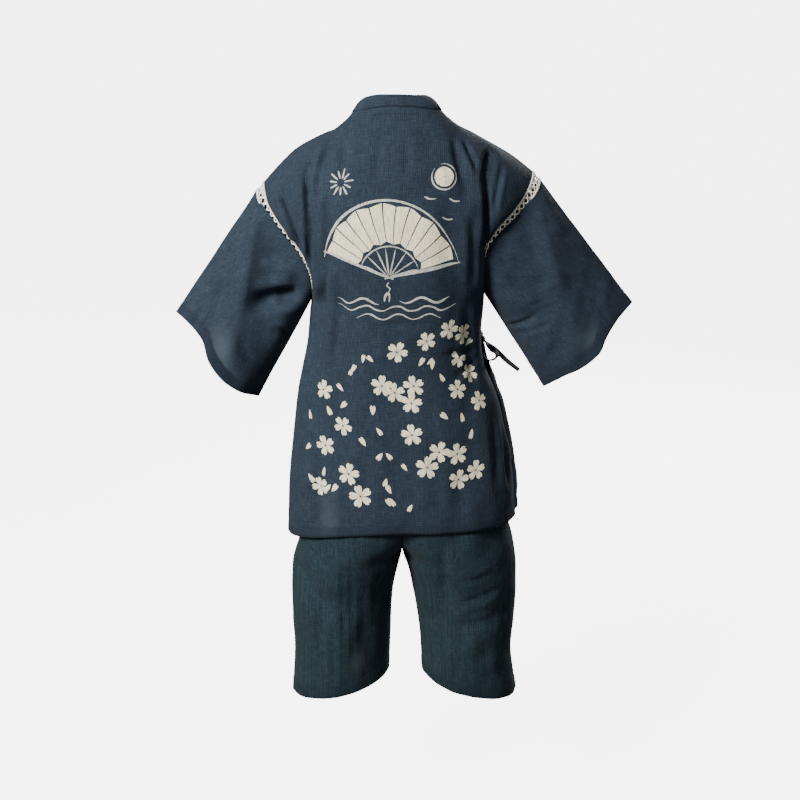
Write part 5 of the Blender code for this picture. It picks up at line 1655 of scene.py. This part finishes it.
def fill(rows):
    """A filled shape from rows of flat points."""
    rows = np.array(rows)
    high, wide = rows.shape[:2]
    faces = [
        (r * wide + c, r * wide + c + 1, (r + 1) * wide + c + 1, (r + 1) * wide + c)
        for r in range(high - 1)
        for c in range(wide - 1)
    ]
    first = faces[0]
    a, b, c = (rows.reshape(-1, 2)[i] for i in first[:3])
    turn = (b[0] - a[0]) * (c[1] - a[1]) - (b[1] - a[1]) * (c[0] - a[0])
    return rows.reshape(-1, 2), faces if turn > 0 else [face[::-1] for face in faces]


# %% Upper back: fan, moon and water
DRAWING_MIDDLE = (0.010, -0.205)
fills, lines = [], []
pivot = np.array([0.016, -0.082])
for k in range(13):
    low, high = (math.radians(22.0 + 11.0 * (k + v)) for v in (0.05, 0.95))
    leaf = []
    for radius in np.linspace(0.060, 0.124, 17):
        bend = 0.0022 * (1 if k % 2 else -1)
        leaf.append([pivot + (radius + bend * (2 * s - 1)) * way_of(a)
                     for s, a in zip(np.linspace(0, 1, 6), np.linspace(low, high, 6))])
    fills.append(fill(leaf))
lines.append(brush_line(arc(*pivot, 0.131, 18, 168, 15), 0.0048, seed=1))
lines.append(brush_line(arc(*pivot, 0.054, 20, 166, 11), 0.0030, seed=2))
for k, degrees in enumerate((24, 45, 66, 84, 104, 125, 146, 164)):
    a = math.radians(degrees)
    wide = 0.0052 if k in (0, 7) else 0.0026
    lines.append(brush_line([pivot + r * way_of(a) for r in (0.004, 0.028, 0.052)], wide, seed=3 + k))
for a, wide in ((22, 0.0062), (168, 0.0062)):
    way = way_of(math.radians(a))
    lines.append(brush_line([pivot + r * way for r in (-0.008, 0.040, 0.090, 0.134)], wide, (0.5, 0.4), seed=a))
tassel = (
    (((0.0, -0.008), (0.004, -0.014), (-0.002, -0.020), (0.002, -0.026)), 0.0026, (0.35, 0.2)),
    (((0.002, -0.026), (0.007, -0.034), (0.008, -0.042)), 0.0044, (0.6, 0.3)),
    (((0.001, -0.026), (-0.001, -0.034), (0.000, -0.043)), 0.0036, (0.6, 0.3)),
)
for k, (spots, wide, ends) in enumerate(tassel):
    lines.append(brush_line([pivot + spot for spot in spots], wide, ends, seed=31 + k))
moon = [[np.array([-0.082, 0.090]) + r * way_of(a) for a in np.linspace(0, 2 * math.pi, 33)]
        for r in np.linspace(0.001, 0.0165, 6)]
fills.append(fill(moon))
lines.append(brush_line(arc(-0.082, 0.090, 0.0215, 70, 395, 21), 0.0030, seed=41))
WAVE_LENGTH, WAVE_HEIGHT = 0.054, 0.0050
waves = ((-0.092, -0.122, 0.090), (0.034, -0.124, 0.078), (-0.104, -0.137, 0.215), (-0.078, -0.152, 0.150))
for k, (x, y, reach) in enumerate(waves):
    places = [x + reach * t for t in np.linspace(0, 1, 16)]
    wave = [(at, y + WAVE_HEIGHT * math.sin(2.0 * math.pi * (at / WAVE_LENGTH + 0.1 * k))) for at in places]
    lines.append(brush_line(wave, 0.0046 - 0.0005 * k, seed=50 + k))
for k in range(11):
    way = way_of(0.2 + k * 2.0 * math.pi / 11.0)
    spark = [np.array([0.094, 0.082]) + r * way for r in (0.007, 0.013, 0.021 + 0.003 * (k % 2))]
    lines.append(brush_line(spark, 0.0034, (0.35, 0.6), seed=60 + k))
for k, (x, y) in enumerate(((-0.060, 0.052), (-0.104, 0.050), (-0.094, 0.018))):
    lines.append(brush_line([(x + 0.010, y + 0.004), (x, y), (x - 0.011, y + 0.001)], 0.0034, (0.3, 0.1), seed=70 + k))
printed_fills = [(*on_back(DRAWING_MIDDLE, flat), faces) for flat, faces in fills]
printed_lines = [(*on_back(DRAWING_MIDDLE, flat), faces) for flat, faces in lines]
print_fill = print_piece("print_fan_and_moon", printed_fills, PRINT_PASTE)
print_lines = print_piece("print_brush_lines", printed_lines, BRUSH_PASTE)

# %% [markdown]
# Every seam and hem is held by a row of stitches. A real stitch is about 3 mm long and half a millimetre thick. One tree sets a
# small capsule at even steps along each line and turns it the way the line runs.

# %% Tree: stitches
STITCH_PITCH, STITCH_LENGTH, THREAD_RADIUS = 0.0032, 0.0023, 0.00026
stitch_tree, start, end = new_tree(
    "stitches", ("Pitch", "Float", STITCH_PITCH), ("Stitch", "Float", STITCH_LENGTH),
    ("Thread", "Float", THREAD_RADIUS), ("Material", "Material", None),
)
path = add_node(stitch_tree, "GeometryNodeMeshToCurve", {"Mesh": start.outputs["Geometry"]})
steps = {"Curve": path.outputs[0], "Length": start.outputs["Pitch"]}
even = add_node(stitch_tree, "GeometryNodeResampleCurve", steps, mode="LENGTH")
half_length = maths(stitch_tree, "MULTIPLY", start.outputs["Stitch"], 0.5)
size = add_node(stitch_tree, "ShaderNodeCombineXYZ", {0: half_length, 1: start.outputs["Thread"], 2: start.outputs["Thread"]})
bead = add_node(stitch_tree, "GeometryNodeMeshUVSphere", {"Segments": 5, "Rings": 4, "Radius": 1.0})
stitch = add_node(stitch_tree, "GeometryNodeTransform", {"Geometry": bead.outputs[0], "Scale": size.outputs[0]})
tangent = add_node(stitch_tree, "GeometryNodeInputTangent")
turned = add_node(stitch_tree, "FunctionNodeAlignRotationToVector", {"Vector": tangent.outputs[0]}, axis="X")
sewn = add_node(stitch_tree, "GeometryNodeInstanceOnPoints",
                {"Points": even.outputs[0], "Instance": stitch.outputs[0], "Rotation": turned.outputs[0]})
finish_tree(stitch_tree, start, end, sewn.outputs[0])


# %% Rows of stitches
def stitches(name, slot, lines, thread=THREAD_RADIUS, finish=THREAD):
    sizes = {"Pitch": STITCH_PITCH, "Stitch": STITCH_LENGTH, "Thread": thread}
    mesh = grown(stitch_tree, line_mesh(name, lines), **sizes, Material=finish)
    mesh.name = name
    mesh.shade_smooth()
    print(name, "stitches:", len(mesh.polygons) // 20)
    return dress(put(name, mesh), slot)


rows_above = int((LEVELS <= ARMPIT).sum())
arm_rows, side_rows = slice(6, rows_above), slice(rows_above + 2, None)
jacket_lines = [line_across(panel, JACKET_HEM) for panel in (back, outer, inner)]
for panel in (back, outer, inner):
    jacket_lines.append(line_down(panel, 0.003, rows=arm_rows))
    jacket_lines.append(line_down(panel, 0.0025, rows=side_rows))
jacket_lines.append(line_down(back, 0.003, last=True, rows=arm_rows))
jacket_lines.append(line_down(back, 0.0025, last=True, rows=side_rows))
for sleeve in (left_sleeve, right_sleeve):
    jacket_lines += [line_across(sleeve, SLEEVE_HEM), line_across(sleeve, 0.004, from_hem=False)]
for c in (1, 8):
    jacket_lines.append(band.grid[:, c] + band.normals[:, c] * 0.0003)
label_across = np.linspace(0.115, -0.150, 24)
label_lines = [body(label_across, 0.092, 1) + np.array([0.0, 0.0006, 0.0002])]
for spot in (0.122, -0.098):
    label_lines.append(body(np.full(5, spot), np.linspace(0.098, 0.116, 5), 1) + np.array([0.0, 0.0008, 0.0]))
jacket_stitches = stitches("stitches_jacket", "jacket_cotton", jacket_lines)
label_stitches = stitches("stitches_neck_facing", "jacket_cotton", label_lines, 0.0007)

shorts_lines = []
for leg, _ in legs.values():
    shorts_lines += [line_across(leg, SHORTS_HEM), line_down(leg, 0.003, last=True), line_down(leg, 0.003)]
for share in (4, 9, 14):
    shorts_lines.append(np.concatenate([waistband.grid[share], waistband.grid[share, :1]]) * (1.001, 1.001, 1.0))
shorts_stitches = stitches("stitches_shorts", "shorts_cotton", shorts_lines)
tie_lines = [line_down(tape, 0.0016, last=end_of_it, off=0.0008) for tape, _ in ties.values() for end_of_it in (False, True)]
tie_stitches = stitches("stitches_ties", "tie_tape", tie_lines, finish=TIE_THREAD)

# %% [markdown]
# Each cloth piece has printed, as it was made, how large it was cut before it was worn, in millimetres, and its flat
# area in square metres. A tube, such as a sleeve, is opened out flat: its width is all the way round.


# %% [markdown]
# The stage is a plain pale floor that sweeps up into a wall, lit until it is nearly white as in a catalogue picture, without
# that glow reaching the cloth. A soft lamp stands behind the camera on the left and higher up, as the photograph's shading
# says, another one lights the front, and a dim, even sky fills the shadows.

# %% Stage and light
FLOOR_HEIGHT = -1.50
SWEEP = ((0.0, 0.0), (6.0, 0.0), (7.2, 0.25), (8.1, 1.1), (8.5, 2.4), (8.6, 9.0))
shape = bmesh.new()
rim_before = []
for radius, height in SWEEP:
    rim = [
        shape.verts.new((radius * math.cos(a), radius * math.sin(a), FLOOR_HEIGHT + height))
        for a in np.linspace(0.0, 2.0 * math.pi, 97)[:-1 if radius else 1]
    ]
    for k in range(96 if rim_before else 0):
        inner_ring = [rim_before[k % len(rim_before)], rim_before[(k + 1) % len(rim_before)]]
        corners = [inner_ring[0], rim[k], rim[(k + 1) % 96], inner_ring[1]]
        shape.faces.new(corners if len(rim_before) > 1 else corners[:3])
    rim_before = rim
shape.normal_update()
if sum(face.normal.z for face in shape.faces) < 0:
    bmesh.ops.reverse_faces(shape, faces=shape.faces[:])
floor_mesh = bpy.data.meshes.new("floor")
shape.to_mesh(floor_mesh)
shape.free()
floor_mesh.shade_smooth()
floor = put("floor", floor_mesh)
floor.visible_diffuse = floor.visible_glossy = floor.visible_shadow = False
paint, paint_tree, paint_shader = new_finish(
    "pale_floor_paint", Roughness=0.9, Emission_Color=linear("#ffffff"), Emission_Strength=5.0
)
paint_shader.inputs["Specular IOR Level"].default_value = 0.1
floor_place = add_node(paint_tree, "ShaderNodeTexCoord").outputs["Object"]
cloudy = add_node(paint_tree, "ShaderNodeTexNoise", {"Vector": floor_place, "Scale": 0.4})
tone = ranged(paint_tree, cloudy.outputs["Fac"], 0.0, 1.0, 0.90, 0.94)
grey = add_node(paint_tree, "ShaderNodeCombineColor", {0: tone, 1: tone, 2: tone})
paint_tree.links.new(grey.outputs[0], paint_shader.inputs["Base Color"])
floor_mesh.materials.append(paint)
floor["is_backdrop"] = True

sky = bpy.data.worlds.new("studio")
sky.use_nodes = True
sky.node_tree.nodes["Background"].inputs["Color"].default_value = linear("#ffffff")
sky.node_tree.nodes["Background"].inputs["Strength"].default_value = 0.22
bpy.context.scene.world = sky


def soft_lamp(name, place, size, power, colour):
    """A large square lamp that faces the middle of the set."""
    data = bpy.data.lights.new(name, "AREA")
    data.shape, data.size, data.energy, data.color = "SQUARE", size, power, linear(colour)[:3]
    lamp = bpy.data.objects.new(name, data)
    lamp.location = place
    lamp.rotation_euler = (Vector((0.0, 0.0, -0.55)) - Vector(place)).to_track_quat("-Z", "Y").to_euler()
    bpy.context.scene.collection.objects.link(lamp)


soft_lamp("key_lamp", (1.80, 2.00, 1.10), 0.8, 190.0, "#fffcf5")
soft_lamp("front_lamp", (-1.8, -3.0, 0.9), 1.6, 150.0, "#ffffff")

# %% Size of the set
low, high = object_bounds()
print("visual box in mm:", [round((b - a) * 1000) for a, b in zip(low, high)])
